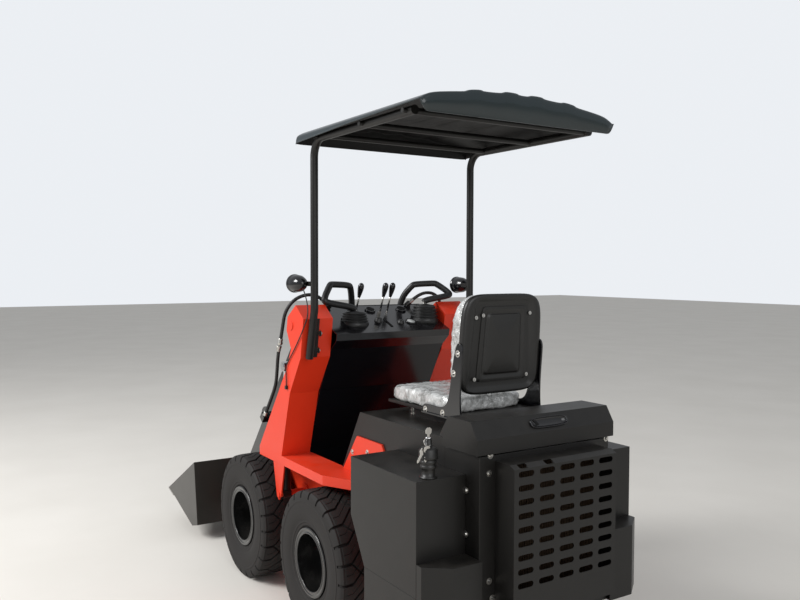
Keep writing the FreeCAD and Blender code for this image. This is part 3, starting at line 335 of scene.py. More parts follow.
def prism(name, corners, away, finish):
    """A closed block: a flat outline of points, pushed along a vector."""
    rings = [[Vector(c) for c in corners], [Vector(c) + Vector(away) for c in corners]]
    return piece(name, *loft(rings, caps=True), finish, smooth=False)


def in_profile(points, y):
    """Points of a side view, (x, z) in millimetres, at one place across the machine."""
    return [place(x, y, z) for x, z in points]


def rounded_square(turn, power):
    """A point at a turn on a square of half width 1. A higher power makes its corners sharper."""
    c, s = math.cos(turn), math.sin(turn)
    reach = (abs(c) ** power + abs(s) ** power) ** (-1 / power)
    return c * reach, s * reach


# %% [markdown]
# Bolts, nuts, slots and tread repeat, so Geometry Nodes make them. A tree takes a mesh and a few named
# sizes. Its instances are realized at the end, and the evaluated result is kept as a plain mesh, so
# that nothing is left for a modifier to do later.

# %% Trees that repeat a shape


def new_tree(name, sizes):
    """A Geometry Nodes tree with an input for a mesh and one for each size, and wires from them."""
    tree = bpy.data.node_groups.new(name, "GeometryNodeTree")
    tree.interface.new_socket(name="Geometry", in_out="INPUT", socket_type="NodeSocketGeometry")
    kinds = {int: "NodeSocketInt", float: "NodeSocketFloat", tuple: "NodeSocketVector"}
    for size, value in sizes.items():
        entry = tree.interface.new_socket(name=size, in_out="INPUT", socket_type=kinds[type(value)])
        entry.default_value = value
    tree.interface.new_socket(name="Geometry", in_out="OUTPUT", socket_type="NodeSocketGeometry")
    source = tree.nodes.new("NodeGroupInput")
    return tree, {socket.name: Wire(tree, socket) for socket in source.outputs if socket.name}


def end_tree(tree, result, finish):
    """Realize the instances, give them a material and close the tree."""
    whole = result.node("GeometryNodeRealizeInstances", Geometry=result)
    whole = whole.node("GeometryNodeSetMaterial", Geometry=whole, Material=finish)
    sink = tree.nodes.new("NodeGroupOutput")
    tree.links.new(whole.socket, sink.inputs["Geometry"])


def applied(made, modifier):
    """Keep what a modifier makes as the object's own plain mesh."""
    bpy.context.view_layer.update()
    graph = bpy.context.evaluated_depsgraph_get()
    result = bpy.data.meshes.new_from_object(made.evaluated_get(graph))
    made.modifiers.remove(modifier)
    made.data = result


def grown(name, mesh, tree, body="machine", **sizes):
    """Run a tree on a mesh and keep the result as a plain mesh that rides on a body."""
    carrier = bpy.data.objects.new(name, mesh)
    modifier = carrier.modifiers.new("grow", "NODES")
    modifier.node_group = tree
    named = {item.name: item.identifier for item in tree.interface.items_tree if item.in_out == "INPUT"}
    for size, value in sizes.items():
        modifier[named[size]] = value
    scene.collection.objects.link(carrier)
    applied(carrier, modifier)
    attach(carrier, body)
    return carrier


def bare_points(name, spots):
    """A mesh of points alone, for a tree to put shapes on."""
    mesh = bpy.data.meshes.new(name)
    mesh.from_pydata([tuple(spot) for spot in spots], [], [])
    return mesh


# %% [markdown]
# The hydraulic hoses leave the deck beside the levers, arch over the towers and run down the arms. A
# lamp cable hangs along the left post. Each is a flexible line between two fixed ends, so each is one
# smooth NURBS curve through the same route as its CAD tube, with a round bevel. Pressed steel ferrules
# hold the hose ends.

# %% Hoses and the lamp cable
ARM_SLOPE = math.radians(50)
ARM_PIVOT_X, ARM_PIVOT_Z = -100, 1255
HOSE_RADIUS, CABLE_RADIUS = 0.008, 0.0025
FERRULE = [(-0.022, 0.0), (-0.022, 0.0095), (-0.020, 0.0108), (-0.004, 0.0108), (-0.002, 0.0125),
           (0.006, 0.0125), (0.008, 0.0115), (0.008, 0.0)]


def beside_arm(distance, rise, y):
    """A point beside the lift arm: how far down it from the pivot, and how high over its middle."""
    x = ARM_PIVOT_X + distance * math.cos(ARM_SLOPE) + rise * math.sin(ARM_SLOPE)
    z = ARM_PIVOT_Z - distance * math.sin(ARM_SLOPE) + rise * math.cos(ARM_SLOPE)
    return place(x, y, z)


def line_along(name, route, radius, finish, body="machine"):
    """A smooth round curve through a route."""
    curve = bpy.data.curves.new(name, "CURVE")
    curve.dimensions = "3D"
    curve.bevel_depth = radius
    curve.bevel_resolution = 5
    curve.resolution_u = 16
    curve.use_fill_caps = True
    spline = curve.splines.new("NURBS")
    spline.points.add(len(route) - 1)
    for point, spot in zip(spline.points, route):
        point.co = (*spot, 1)
    spline.order_u = 3
    spline.use_endpoint_u = True
    curve.materials.append(finish)
    made = bpy.data.objects.new(name, curve)
    scene.collection.objects.link(made)
    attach(made, body)
    return made


deck_route = [place(*p) for p in ((-24, 227, 1340), (-33, 260, 1368), (-40, 303, 1387), (-38, 355, 1385),
                                  (-26, 402, 1359), (-5, 429, 1307), (21, 429, 1236), (48, 428, 1168))]
arm_route = [place(60, 428, 1147), beside_arm(240, 40, 424), beside_arm(315, 24, 412),
             beside_arm(395, 12, 399), beside_arm(503, 11, 396), beside_arm(610, 11, 396)]
HOSES = (("deck", "hose", deck_route, 0.405, "machine"), ("arm", "hose_arm", arm_route, 0.430, "lift_arm"))
for side, sign in SIDES:
    for kind, node, route, length, body in HOSES:
        points = [Vector((p.x, p.y * sign, p.z)) for p in route]
        hose = line_along(f"{kind}_hose_{side}", points, HOSE_RADIUS, hose_rubber, body)
        for end, tip, before in (("first", points[0], points[1]), ("last", points[-1], points[-2])):
            turned(f"ferrule_{kind}_{side}_{end}", FERRULE, tip, tip - before, zinc, body, 24)
        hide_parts(f"{node}_{side}")

cable_route = [place(*p) for p in ((-212, 437, 1418), (-234, 436, 1388), (-254, 436, 1346), (-262, 440, 1300),
                                   (-238, 448, 1252), (-190, 447, 1200), (-138, 447, 1148), (-90, 447, 1106),
                                   (-52, 447, 1066), (-58, 447, 1022), (-58, 447, 985))]
lamp_cable = line_along("lamp_wire", cable_route, CABLE_RADIUS, soft_rubber)
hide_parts("lamp_cable")
print("cords", len(SIDES) * len(HOSES) + 1)

# %% [markdown]
# The tyres are solid industrial ones. Wide grooves cross the tread from shoulder to shoulder with a
# diagonal in the middle, and every second bar has a thinner groove that cuts off a five-sided block.
# The pattern repeats twelve times, so the mesh is one repeat of a fine grid whose lines follow the
# grooves, pushed inwards where a groove is. Geometry Nodes turn it round the axle and merge the seams.

# %% One repeat of the tread
TREAD_HALF = 0.074
TYRE_RADIUS = 0.295
REPEATS = 12
PITCH = math.tau / REPEATS / 2
TREAD_ROWS = 30
NO_GROOVE = 9
SHOULDER = [(0.0762, 0.2915), (0.0790, 0.2880), (0.0815, 0.2840), (0.0828, 0.2825), (0.0845, 0.2775),
            (0.0860, 0.2715), (0.0870, 0.2655)]
WALL = [(0.0868, 0.2635), (0.0876, 0.2600), (0.0880, 0.2550), (0.0897, 0.2535), (0.0899, 0.2500),
        (0.0897, 0.2470), (0.0885, 0.2455), (0.0890, 0.2350), (0.0892, 0.2200), (0.0885, 0.2050),
        (0.0866, 0.1900), (0.0832, 0.1770), (0.0800, 0.1690), (0.0804, 0.1670), (0.0804, 0.1635),
        (0.0788, 0.1620), (0.0770, 0.1580), (0.0772, 0.1560), (0.0768, 0.1510), (0.0740, 0.1475),
        (0.0693, 0.1460), (0.0691, 0.1290)]


def groove_lean(v):
    """How far round a groove has moved, in pitches, at a place across the tread from -1 to 1."""
    return min(max(v + 0.5, 0.0), 1.0) + 0.10 * (min(v + 0.5, 0.0) + max(v - 0.5, 0.0))


def sunk(distance, half_width):
    """1 in the middle of a groove, 0 outside it, and straight down its wall."""
    return min(max((half_width - distance) / 0.024, 0.0), 1.0)


def groove_depth(s, v, edge):
    """Depth in metres at s pitches from a groove. The edge is 0 on the tread and 1 at its lower end."""
    bar = s % 2.0
    from_groove = abs(bar - round(bar))
    branch = NO_GROOVE
    if abs(v) <= 0.5:
        branch = -2 * v if v <= 0 else 2 - 2 * v
    deep = (0.012 - 0.007 * edge) * sunk(from_groove, 0.080)
    thin = 0.007 * sunk(abs(bar - branch), 0.062)
    slit = 0.0028 if abs(from_groove - 0.5) < 0.004 and abs(v) < 0.86 else 0.0
    rim_line = 0.0016 if 0.905 < abs(v) < 0.935 else 0.0
    return max(deep, thin, slit, rim_line)


def tyre_rows():
    """Rows of the section from bead to bead: (v, y, r, inward y, inward r, edge)."""
    half = [(y, r, None) for y, r in WALL[::-1]]
    half += [(y, r, k / len(SHOULDER)) for k, (y, r) in enumerate(SHOULDER)][::-1]
    rows = []
    for y, r, edge in half:
        slope = 0.75 * edge if edge is not None else 0.0
        rows.append((-1.0, y, r, -slope, -math.sqrt(1 - slope ** 2), edge))
    far_side = [(1.0, -y, r, -dy, dr, edge) for _, y, r, dy, dr, edge in rows[::-1]]
    for k in range(2 * TREAD_ROWS + 1):
        v = -1 + k / TREAD_ROWS
        rows.append((v, -v * TREAD_HALF, TYRE_RADIUS - 0.0035 * v ** 4, 0.0, -1.0, 0.0))
    return rows + far_side


def tyre_sector():
    """A mesh of two pitches of a tyre about the Y axis. Its columns are denser at a groove's walls."""
    one_bar = [0.0, 0.056, 0.080] + [0.080 + 0.84 * k / 26 for k in range(1, 26)] + [0.920, 0.944]
    columns = one_bar + [1 + s for s in one_bar] + [2.0]
    rings = []
    for v, y, r, dy, dr, edge in tyre_rows():
        ring = []
        for s in columns:
            depth = groove_depth(s, v, edge) if edge is not None else 0.0
            turn = (s + groove_lean(v)) * PITCH
            radius = r + dr * depth
            ring.append((-radius * math.cos(turn), y + dy * depth, radius * math.sin(turn)))
        rings.append(ring)
    verts, faces = loft(rings + rings[:1], close_ring=False)
    mesh = bpy.data.meshes.new("tyre_sector")
    mesh.from_pydata(verts, [], faces)
    mesh.shade_smooth()
    return mesh


print("rows across a tyre", len(tyre_rows()))

# %% The tree that turns it round the axle
turn_tree, source = new_tree("turn_round_axle", {"Copies": REPEATS, "Centre": (0.0, 0.0, 0.0)})
spots = source["Copies"].node("GeometryNodeMeshLine", Count=source["Copies"], Offset=(0.0, 0.0, 0.0))
step = source["Copies"].node("GeometryNodeInputIndex") * (math.tau / REPEATS)
spin = step.node("FunctionNodeAxisAngleToRotation", Axis=(0.0, 1.0, 0.0), Angle=step)
ring = spots.node("GeometryNodeInstanceOnPoints", Points=spots, Instance=source["Geometry"], Rotation=spin)
ring = ring.node("GeometryNodeRealizeInstances", Geometry=ring)
ring = ring.node("GeometryNodeMergeByDistance", Geometry=ring, Distance=WELD_GAP)
ring = ring.node("GeometryNodeTransform", Geometry=ring, Translation=source["Centre"])
end_tree(turn_tree, ring, tread_rubber)

WHEEL_X, WHEEL_Y, WHEEL_Z = 373.5, 410, 295
WHEELS = [(f"{axle}_{side}", fore * WHEEL_X, sign) for axle, fore in AXLES for side, sign in SIDES]
for wheel, wheel_x, sign in WHEELS:
    centre = tuple(place(wheel_x, sign * WHEEL_Y, WHEEL_Z))
    tyre = grown(f"tread_{wheel}", tyre_sector(), turn_tree, f"wheel_{wheel}", Centre=centre)
    cleaned(tyre.data, WELD_GAP / 2)
    tyre.data.shade_smooth()
    tyre.data.set_sharp_from_angle(angle=math.radians(35))
    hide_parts(f"tyre_{wheel}")
print("tyre faces", len(tyre.data.polygons))

# %% [markdown]
# Screws, bolts and nuts are everywhere on folded sheet: bright zinc heads on black paint. A mesh of
# bare points says where they are, and a vector on each point says which way they face. One function
# makes both trees: a low round head, or a hexagon nut on its stud, each over a washer.

# %% Trees for round heads and nuts


def fastener_tree(name, hexagon):
    """A tree that puts a fastener with a washer on every point."""
    tree, source = new_tree(name, {"Radius": 0.006, "Height": 0.004})
    radius, height = source["Radius"], source["Height"]
    washer = radius.node("GeometryNodeMeshCylinder", Vertices=20, Radius=radius * 1.55, Depth=0.0016)
    if hexagon:
        head = radius.node("GeometryNodeMeshCylinder", Vertices=6, Radius=radius, Depth=height)
    else:
        head = radius.node("GeometryNodeMeshCone", Vertices=14, Side_Segments=2,
                           Radius_Top=radius * 0.62, Radius_Bottom=radius, Depth=height)
    shapes = [(washer, 0.0), (head, 0.5 if hexagon else 0.0)]
    if hexagon:
        stud = radius.node("GeometryNodeMeshCylinder", Vertices=16, Radius=radius * 0.5, Depth=height * 1.5)
        shapes.append((stud, 0.75))
    join = tree.nodes.new("GeometryNodeJoinGeometry")
    for shape, share in shapes:
        lift = radius.node("ShaderNodeCombineXYZ", X=0.0, Y=0.0, Z=height * share)
        lifted = shape.node("GeometryNodeTransform", Geometry=shape, Translation=lift)
        tree.links.new(lifted.socket, join.inputs[0])
    facing = radius.node("GeometryNodeInputNamedAttribute", {"data_type": "FLOAT_VECTOR"}, Name="facing")
    turn = facing.node("FunctionNodeAlignRotationToVector", {"axis": "Z"}, Vector=facing)
    placed = radius.node("GeometryNodeInstanceOnPoints", Points=source["Geometry"],
                         Instance=Wire(tree, join.outputs[0]), Rotation=turn)
    end_tree(tree, placed, zinc)
    return tree


head_tree = fastener_tree("round_heads", hexagon=False)
nut_tree = fastener_tree("hexagon_nuts", hexagon=True)


def fasteners(name, spots, body="machine", tree=head_tree, **sizes):
    """Heads on points in metres that face given directions: spots is a list of (point, direction)."""
    mesh = bare_points(name, [point for point, _ in spots])
    facing = mesh.attributes.new("facing", "FLOAT_VECTOR", "POINT")
    facing.data.foreach_set("vector", [c for _, direction in spots for c in direction])
    return grown(name, mesh, tree, body, **sizes)


# %% Wheel nuts and lock rings
NUTS, NUT_CIRCLE, HUB_Y = 5, 54, 384.5
LOCK_RING = [(0.0755, 0.1165), (0.0800, 0.1165), (0.0812, 0.1195), (0.0800, 0.1225), (0.0785, 0.1240),
             (0.0785, 0.1290), (0.0800, 0.1310), (0.0812, 0.1350), (0.0808, 0.1405), (0.0785, 0.1425),
             (0.0755, 0.1425)]
for wheel, wheel_x, sign in WHEELS:
    spots = []
    for k in range(NUTS):
        turn = math.tau * (k + 0.3) / NUTS
        x = wheel_x + NUT_CIRCLE * math.cos(turn)
        spots.append((place(x, sign * HUB_Y, WHEEL_Z + NUT_CIRCLE * math.sin(turn)), (0, sign, 0)))
    fasteners(f"wheel_nuts_{wheel}", spots, f"wheel_{wheel}", nut_tree, Radius=0.0125, Height=0.012)
    turned(f"lock_ring_{wheel}", LOCK_RING, place(wheel_x, sign * WHEEL_Y, WHEEL_Z), (0, sign, 0), rim_paint,
           f"wheel_{wheel}", 72, closed=True)
print("wheel nuts", NUTS * len(WHEELS))

# %% [markdown]
# The radiator grille is a shallow box of thin sheet with rows of long round-ended slots. A box inside a
# box gives the sheet. The slots are cut by a Boolean, whose cutters are one tree again: two cylinders
# wrapped in their convex hull, copied to a grid of points. Behind the slots stand the radiator's fins.

# %% Cutting slots


def cut_away(made, cutter):
    """Cut one mesh out of another, keep the result as a plain mesh and drop the cutter."""
    modifier = made.modifiers.new("cut", "BOOLEAN")
    modifier.solver = "EXACT"
    modifier.object = cutter
    applied(made, modifier)
    bpy.data.objects.remove(cutter)
    made.data.shade_flat()


SLOT_SIZES = {"Length": 0.067, "Height": 0.020, "Depth": 0.03, "Turn": (0.0, math.pi / 2, 0.0)}
slot_tree, source = new_tree("slot_cutters", SLOT_SIZES)
end = source["Length"].node("GeometryNodeMeshCylinder", Vertices=20, Radius=source["Height"] * 0.5,
                            Depth=source["Depth"])
half = (source["Length"] - source["Height"]) * 0.5
both = slot_tree.nodes.new("GeometryNodeJoinGeometry")
for way in (1, -1):
    shift = half.node("ShaderNodeCombineXYZ", X=0.0, Y=half * way, Z=0.0)
    moved = end.node("GeometryNodeTransform", Geometry=end, Translation=shift)
    slot_tree.links.new(moved.socket, both.inputs[0])
slot = half.node("GeometryNodeConvexHull", Geometry=Wire(slot_tree, both.outputs[0]))
turned_slot = half.node("FunctionNodeEulerToRotation", Euler=source["Turn"])
slots = half.node("GeometryNodeInstanceOnPoints", Points=source["Geometry"], Instance=slot,
                  Rotation=turned_slot)
# The cutters carry the near-black material of painted shade.
end_tree(slot_tree, slots, dark_inside)
print("slot nodes", len(slot_tree.nodes))

# %% The grille and the radiator's fins
SHEET_MM = 2.5
SLOT_ROWS, SLOT_COLUMNS = 9, 5
FINS, FIN_SPAN, FIN_HALF, FIN_HEIGHT = 56, 428, 1.1, 0.45


def grille_side(inset):
    """The grille's outline seen from the side, drawn in by an inset."""
    return ((-1250, 351 + inset), (-1355 + inset, 351 + inset), (-1355 + inset, 856 - inset),
            (-1331 + inset * 0.4, 867 - inset), (-1250, 867 - inset))


grille_shell = prism("slotted_grille", in_profile(grille_side(0), 235), (0, -0.470, 0), black_sheet)
hollow = [p + Vector((0.001, 0, 0)) for p in in_profile(grille_side(SHEET_MM), 233)]
slot_spots = [place(-1355, 91.5 * (2 - column), 469 + 46.1 * row)
              for column in range(SLOT_COLUMNS) for row in range(SLOT_ROWS)]
notch_spots = [place(-1343, y, 862) for y in (189, 75)]
cut_away(grille_shell, prism("grille_inside", hollow, (0, -0.466, 0), black_sheet))
cut_away(grille_shell, grown("slots", bare_points("slots", slot_spots), slot_tree))
cut_away(grille_shell, grown("notches", bare_points("notches", notch_spots), slot_tree, Length=0.038,
                             Height=0.012))
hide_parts("grille")
fin_verts, fin_faces = [], []
for k in range(FINS):
    y = -FIN_SPAN / 2 + FIN_SPAN * k / (FINS - 1)
    foot = [place(-1272, y - FIN_HALF, 400), place(-1272, y + FIN_HALF, 400),
            place(-1252, y + FIN_HALF, 400), place(-1252, y - FIN_HALF, 400)]
    verts, faces = loft([foot, [p + Vector((0, 0, FIN_HEIGHT)) for p in foot]], caps=True)
    fin_faces += [tuple(i + len(fin_verts) for i in face) for face in faces]
    fin_verts += verts
piece("radiator_fins", fin_verts, fin_faces, brass_fins, smooth=False)
print("grille faces", len(grille_shell.data.polygons), "slots", len(slot_spots), "fins", FINS)

# %% [markdown]
# The canopy is one moulded sheet of glossy plastic: a shallow crown, a steep brow along each side, and
# four flat ribs from front to back. Its section follows the same line all the way, and only its ends
# turn down. So it is a loft of that section, rounded by cutting corners twice, with a sheet's thickness.

# %% The moulded canopy
RIM_HEIGHT = 2034
ROOF_HALF_LINE = [(452, 0), (450.5, 22), (447, 36), (421, 50), (392, 60), (320, 70), (256, 77), (245, 84),
                  (195, 90), (184, 85), (96, 89), (85, 96), (35, 96), (24, 90.5)]
LOWER_EDGE = None
STATIONS = [(-172, LOWER_EDGE), (-172, 14), (-173.2, 6), (-176, 2), (-181, 0.5), (-188, 0)]
STATIONS += [(-188 - 919 * k / 40, 0) for k in range(1, 40)]
STATIONS += [(-1107, 0), (-1114, 0.5), (-1119, 2), (-1121.8, 6), (-1123, 14), (-1123, LOWER_EDGE)]


def rounded(line, times=2):
    """Cut the corners of an open line of points, and keep its ends."""
    for _ in range(times):
        cut = [line[0]]
        for a, b in zip(line, line[1:]):
            cut.append(tuple(p * 0.75 + q * 0.25 for p, q in zip(a, b)))
            cut.append(tuple(p * 0.25 + q * 0.75 for p, q in zip(a, b)))
        line = cut + [line[-1]]
    return line


def roof_edge(x):
    """How far the side's lower edge stands above the rim's height, in mm."""
    if x > -182:
        return 2 + 6 * (-172 - x) / 10
    if x > -652:
        return 8 + 16 * (-182 - x) / 470
    return 24 + 9 * (-652 - x) / 471


def roof_rise(x, y, rise, drop):
    """The height over the rim at one point of a station, in mm. An end wall has a lower edge."""
    side = roof_edge(x)
    if drop is not LOWER_EDGE:
        return max(rise - drop, side)
    foot = 0 if x > -600 else -8
    to_corner = max(abs(y) - 418, 0) / 34
    return min(foot + to_corner ** 2 * (side - foot), max(rise, side))


section = rounded(ROOF_HALF_LINE + [(-y, z) for y, z in ROOF_HALF_LINE[::-1]])
roof_rings = [[place(x, y, RIM_HEIGHT + roof_rise(x, y, rise, drop)) for y, rise in section]
              for x, drop in STATIONS]
roof = piece("moulded_roof", *loft(roof_rings, close_ring=False), roof_shell)
roof.data.materials.append(roof_inside)
highest = max(roof.data.polygons, key=lambda face: face.center.z)
if highest.normal.z < 0:
    roof.data.flip_normals()
thickness = roof.modifiers.new("sheet", "SOLIDIFY")
thickness.thickness = 0.004
thickness.offset = -1
thickness.material_offset = 1
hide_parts("canopy_roof")
print("roof faces", len(roof.data.polygons))

# %% [markdown]
# The seat is two foam cushions in shiny film, still wrapped for transport, on a moulded black tray. A
# cushion is a closed form with a crowned face, and its sides pull in between the corners. The film lies
# on it in folds: ridges of noise lift the mesh, and finer ones are left to the material, whose colour is
# paler on their ridges as a painted highlight. Ring by ring, one function makes both cushions from a
# mapping of their space.

# %% The film and the cushions
film, film_shader, film_where = blank_material("wrapped_film")
warp = noise_of(film_where, 7.0, 2.0)
folds = noise_of(film_where, 26.0, 6.0, 0.7)
crease = noise_of(film_where, 70.0, 4.0, 0.6)
# The fold ridges get a pale colour and a little metal: a painted highlight of the film's sheen on its wrinkles.
painted_fold_highlight = (folds * 0.8 + crease * 0.5 + warp * 0.2).ramp(0.60, 0.88)
feed(film_shader, Base_Color=painted_fold_highlight.mix((0.24, 0.24, 0.23), (0.78, 0.79, 0.78)),
     Roughness=(folds * 0.20 + 0.08).clamp(), Metallic=(painted_fold_highlight * 0.25).clamp(),
     Normal=bumped(folds * 0.6 + crease * 0.4, 0.9, 0.008), Coat_Weight=0.5, Coat_Roughness=0.05)
CUSHION_STEPS, CUSHION_FILL, WAIST = 360, 0.7, 0.022
CUSHION_RINGS = [(0.02, 0.02), (0.60, 0.0), (0.93, 0.0), (0.97, 0.05), (0.995, 0.16), (1.0, 0.30),
                 (1.0, 0.45), (1.0, 0.60), (0.992, 0.72), (0.975, 0.82), (0.95, 0.895), (0.915, 0.94), (0.87, 0.965),
                 (0.81, 0.98), (0.74, 0.988), (0.66, 0.993), (0.57, 0.996), (0.47, 0.998), (0.36, 0.999),
                 (0.24, 1.0), (0.12, 1.0), (0.02, 1.0)]


def fold_height(spot):
    """How far the film stands off at a place, in metres."""
    wide = noise.noise(spot * 9.0)
    ridge = 1 - abs(noise.noise(Vector((spot.x * 16, spot.y * 30, spot.z * 22))))
    fine = 1 - abs(noise.noise(spot * 62.0))
    return wide * 0.0030 + ridge ** 5 * 0.0042 + fine ** 4 * 0.0014


def cushion(name, node, spot_of, power):
    """A crowned pad: spot_of turns (-1..1, -1..1, 0..1) into a point of the frame."""
    rings = []
    for share, depth in CUSHION_RINGS:
        ring = []
        for k in range(CUSHION_STEPS):
            turn = math.tau * k / CUSHION_STEPS
            a, b = rounded_square(turn, power)
            pull = 1 - WAIST * (1 - math.sin(2 * turn) ** 2) * math.sin(math.pi * depth)
            ring.append(spot_of(a * share * pull, b * share * pull, depth))
        rings.append(ring)
    made = piece(name, *loft(rings, caps=True), film)
    moved = [v.co + v.normal * fold_height(v.co) for v in made.data.vertices]
    for vertex, spot in zip(made.data.vertices, moved):
        vertex.co = spot
    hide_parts(node)
    return made


def seat_spot(a, b, depth):
    """The seat's space: forward, across and up, with a drooping front edge."""
    droop = 9 * max(a, 0) ** 4
    crown = 3 * depth * (1 - a * a) * (1 - b * b)
    return place(-710 + 221 * a, 181 * b, 969 + (60 - droop) * depth + crown)


def back_spot(a, b, depth):
    """The back's space: across, up and forward, narrower and bent back at its top."""
    rise = (b + 1) / 2
    half_width = 181 - 20 * max(rise - 0.55, 0) ** 2 * 3
    rear = -973 - 30 * rise
    front = -909 - 16 * rise - 40 * max(rise - 0.62, 0) ** 1.6 * 2
    return place(rear + (front - rear) * depth, half_width * a, 1046 + 362 * rise)


seat_pad = cushion("wrapped_seat", "seat_cushion", seat_spot, 7.0)
back_pad = cushion("wrapped_back", "back_cushion", back_spot, 5.5)
print("cushion faces", len(seat_pad.data.polygons) + len(back_pad.data.polygons))

# %% The tray behind the back cushion
TRAY_STEPS = 160
TRAY = [(0.985, 0.992, -6), (1.0, 1.0, 0), (1.0, 1.0, 10), (0.985, 0.99, 17), (0.93, 0.965, 20),
        (0.88, 0.93, 20), (0.80, 0.86, 11), (0.78, 0.84, 9.5), (0.66, 0.75, 9.5), (0.655, 0.745, 12.5),
        (0.60, 0.70, 13.5), (0.56, 0.68, 13.5), (0.52, 0.63, 8), (0.48, 0.60, 8), (0.46, 0.585, 13.0),
        (0.44, 0.57, 14.0), (0.02, 0.02, 14.0)]


def tray_ring(share, tall, out):
    """A rounded outline on the back's rear plane, wider at its foot, standing off by a distance in mm."""
    ring = []
    for k in range(TRAY_STEPS):
        a, b = rounded_square(math.tau * k / TRAY_STEPS, 6 if share > 0.9 else 18)
        rise = (b * tall + 1) / 2
        narrow = 1 - (0.16 * rise if share < 0.9 else 0.045 * rise ** 4)
        y = 188 * a * share * narrow - (8 if share < 0.7 else 0)
        ring.append(place(-975 - 29 * rise - out, y, 1040 + 374 * rise))
    return ring


tray = piece("back_tray", *loft([tray_ring(*row) for row in TRAY], caps=True), black_plastic)
tray.data.set_sharp_from_angle(angle=math.radians(60))
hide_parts("back_shell")
print("tray faces", len(tray.data.polygons))

# %% Seat frame: riser, pan and the brackets that carry the back
RISER = ((-955, 911), (-600, 911), (-600, 956), (-955, 956))
PAN = ((-985, 955), (-500, 955), (-500, 967.3), (-985, 967.3))
BRACKET_FOOT = ((-1010, 953), (-766, 953), (-766, 958), (-1010, 958))
BRACKET = [(-766, 955), (-765, 984), (-800, 990), (-880, 986), (-915, 997), (-935, 1030), (-946, 1085),
           (-957, 1150), (-972, 1205), (-984, 1232), (-997, 1238), (-1009, 1232), (-1016, 1215),
           (-1014, 1180), (-1008, 1120), (-1004, 1060), (-1004, 1000), (-1010, 955)]
riser = prism("seat_riser", in_profile(RISER, -150), (0, 0.300, 0), black_sheet)
pan = prism("seat_pan", in_profile(PAN, -187), (0, 0.374, 0), black_sheet)
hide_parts("seat_base")
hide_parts("seat_base")
round_edges(pan, 0.002)
for side, sign in SIDES:
    bracket = prism(f"back_bracket_{side}", in_profile(rounded(BRACKET), sign * 188), (0, sign * 0.007, 0),
                    black_gloss)
    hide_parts("seat_brackets")
    round_edges(bracket, 0.0015)
    prism(f"bracket_foot_{side}", in_profile(BRACKET_FOOT, sign * 188), (0, sign * 0.014, 0), black_gloss)
    spots = [(place(x, sign * 195, z), (0, sign, 0))
             for x, z in ((-991, 1198), (-966, 1124), (-785, 966), (-898, 968))]
    fasteners(f"bracket_bolts_{side}", spots, Radius=0.0085, Height=0.007)
tray_screws = [(place(-991 - 29 * rise, y, 1040 + 374 * rise), (-1, 0, 0.08))
               for y, rise in ((96, 0.79), (-128, 0.80), (-128, 0.17), (122, 0.16), (128, 0.77))]
fasteners("tray_screws", tray_screws, Radius=0.0045, Height=0.003)
print("tray screws", len(tray_screws))

# %% [markdown]
# The driver steers with two bent handles that rise out of rubber bellows. A handle is one tube with
# foam on it, bent four times, so a curve with a round bevel makes it. The bellows is a lathe shape with
# five folds. The small levers have tapered knobs and stand square to the sloping deck, and so do the
# gauges, whose faces sit in raised bezels.

# %% Handles and bellows
HANDLE_X, HANDLE_REACH, HANDLE_TOP, HANDLE_RADIUS = -150, 155, 1434, 0.0148
STEM_FOOT, BELLOWS_FOOT = 1240, 1236
FOLDS, FOLD_STEPS, FOLD_DEPTH = 5, 40, 3.2
HANDLE = [(0, 0, -0.1), (0, 0.02, 0.0), (0, 0.90, 0.22), (3, 1.0, 0.36), (44, 0.66, 0.96), (54, 0.58, 1.0),
          (70, -0.05, 0.95), (76, -0.14, 0.86), (116, -0.33, 0.16), (126, -0.36, -0.34)]
for side, sign, foot_y, low, fold_top in (("left", 1, 152, 1330, 1310), ("right", -1, -230, 1356, 1332)):
    route = [place(HANDLE_X + forward, foot_y + sign * outward * HANDLE_REACH, low + up * (HANDLE_TOP - low))
             for forward, outward, up in HANDLE]
    handle = line_along(f"handle_{side}", route, HANDLE_RADIUS, soft_rubber)
    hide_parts("travel_levers")
    turned(f"handle_stem_{side}", rod(0.010, (low - STEM_FOOT) / 1000), place(HANDLE_X, foot_y, STEM_FOOT),
           (0, 0, 1), zinc, steps=24)
    tall = fold_top - BELLOWS_FOOT
    outline = [(0, 0), (0, 0.066)]
    for k in range(FOLD_STEPS + 1):
        share = k / FOLD_STEPS
        fold = FOLD_DEPTH * math.sin(math.tau * FOLDS * share - 1.2) if k > 4 else 0
        outline.append((tall * (0.25 + 0.75 * share) / 1000, (66 - 16 * share + fold) / 1000))
    outline += [((tall + 2) / 1000, 0.030), ((tall + 6) / 1000, 0.012), ((tall + 6) / 1000, 0)]
    bellows = turned(f"bellows_{side}", outline, place(HANDLE_X, foot_y, BELLOWS_FOOT), (0, 0, 1),
                     soft_rubber, steps=64)
    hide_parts("lever_bellows")
print("points on a handle", len(HANDLE), "folds", FOLDS)

# %% Small levers and instruments
DECK_SLOPE = 107 / 255.7
deck_up = Vector((-DECK_SLOPE, 0, 1)).normalized()
KNOB = [(0.056, 0), (0.056, 0.0062), (0.060, 0.0075), (0.080, 0.0115), (0.100, 0.0142), (0.114, 0.0142),
        (0.123, 0.011), (0.128, 0.005), (0.129, 0)]
KNOB_STEM = [(0, 0), (0, 0.0045), (0.070, 0.0042), (0.070, 0)]
GAUGES = ((-178, -133, 26, 7), (-59, -154, 26, 9), (-57, 17, 26, 9))
BUTTONS = (("push_button", -181, -76, 13, 12), ("key_switch", -160, 33, 15, 18),
           ("small_button", -18, -222, 10, 8))
KEY_GRIP = ((0, -0.003), (0.008, -0.004), (0.012, -0.010), (0.028, -0.010), (0.032, -0.004),
            (0.032, 0.004), (0.028, 0.010), (0.012, 0.010), (0.008, 0.004), (0, 0.003))


def on_deck(x, y, rise):
    """A point over the sloping deck, at a rise in mm."""
    return place(x, y, 1222 + (x + 260) * DECK_SLOPE + rise)


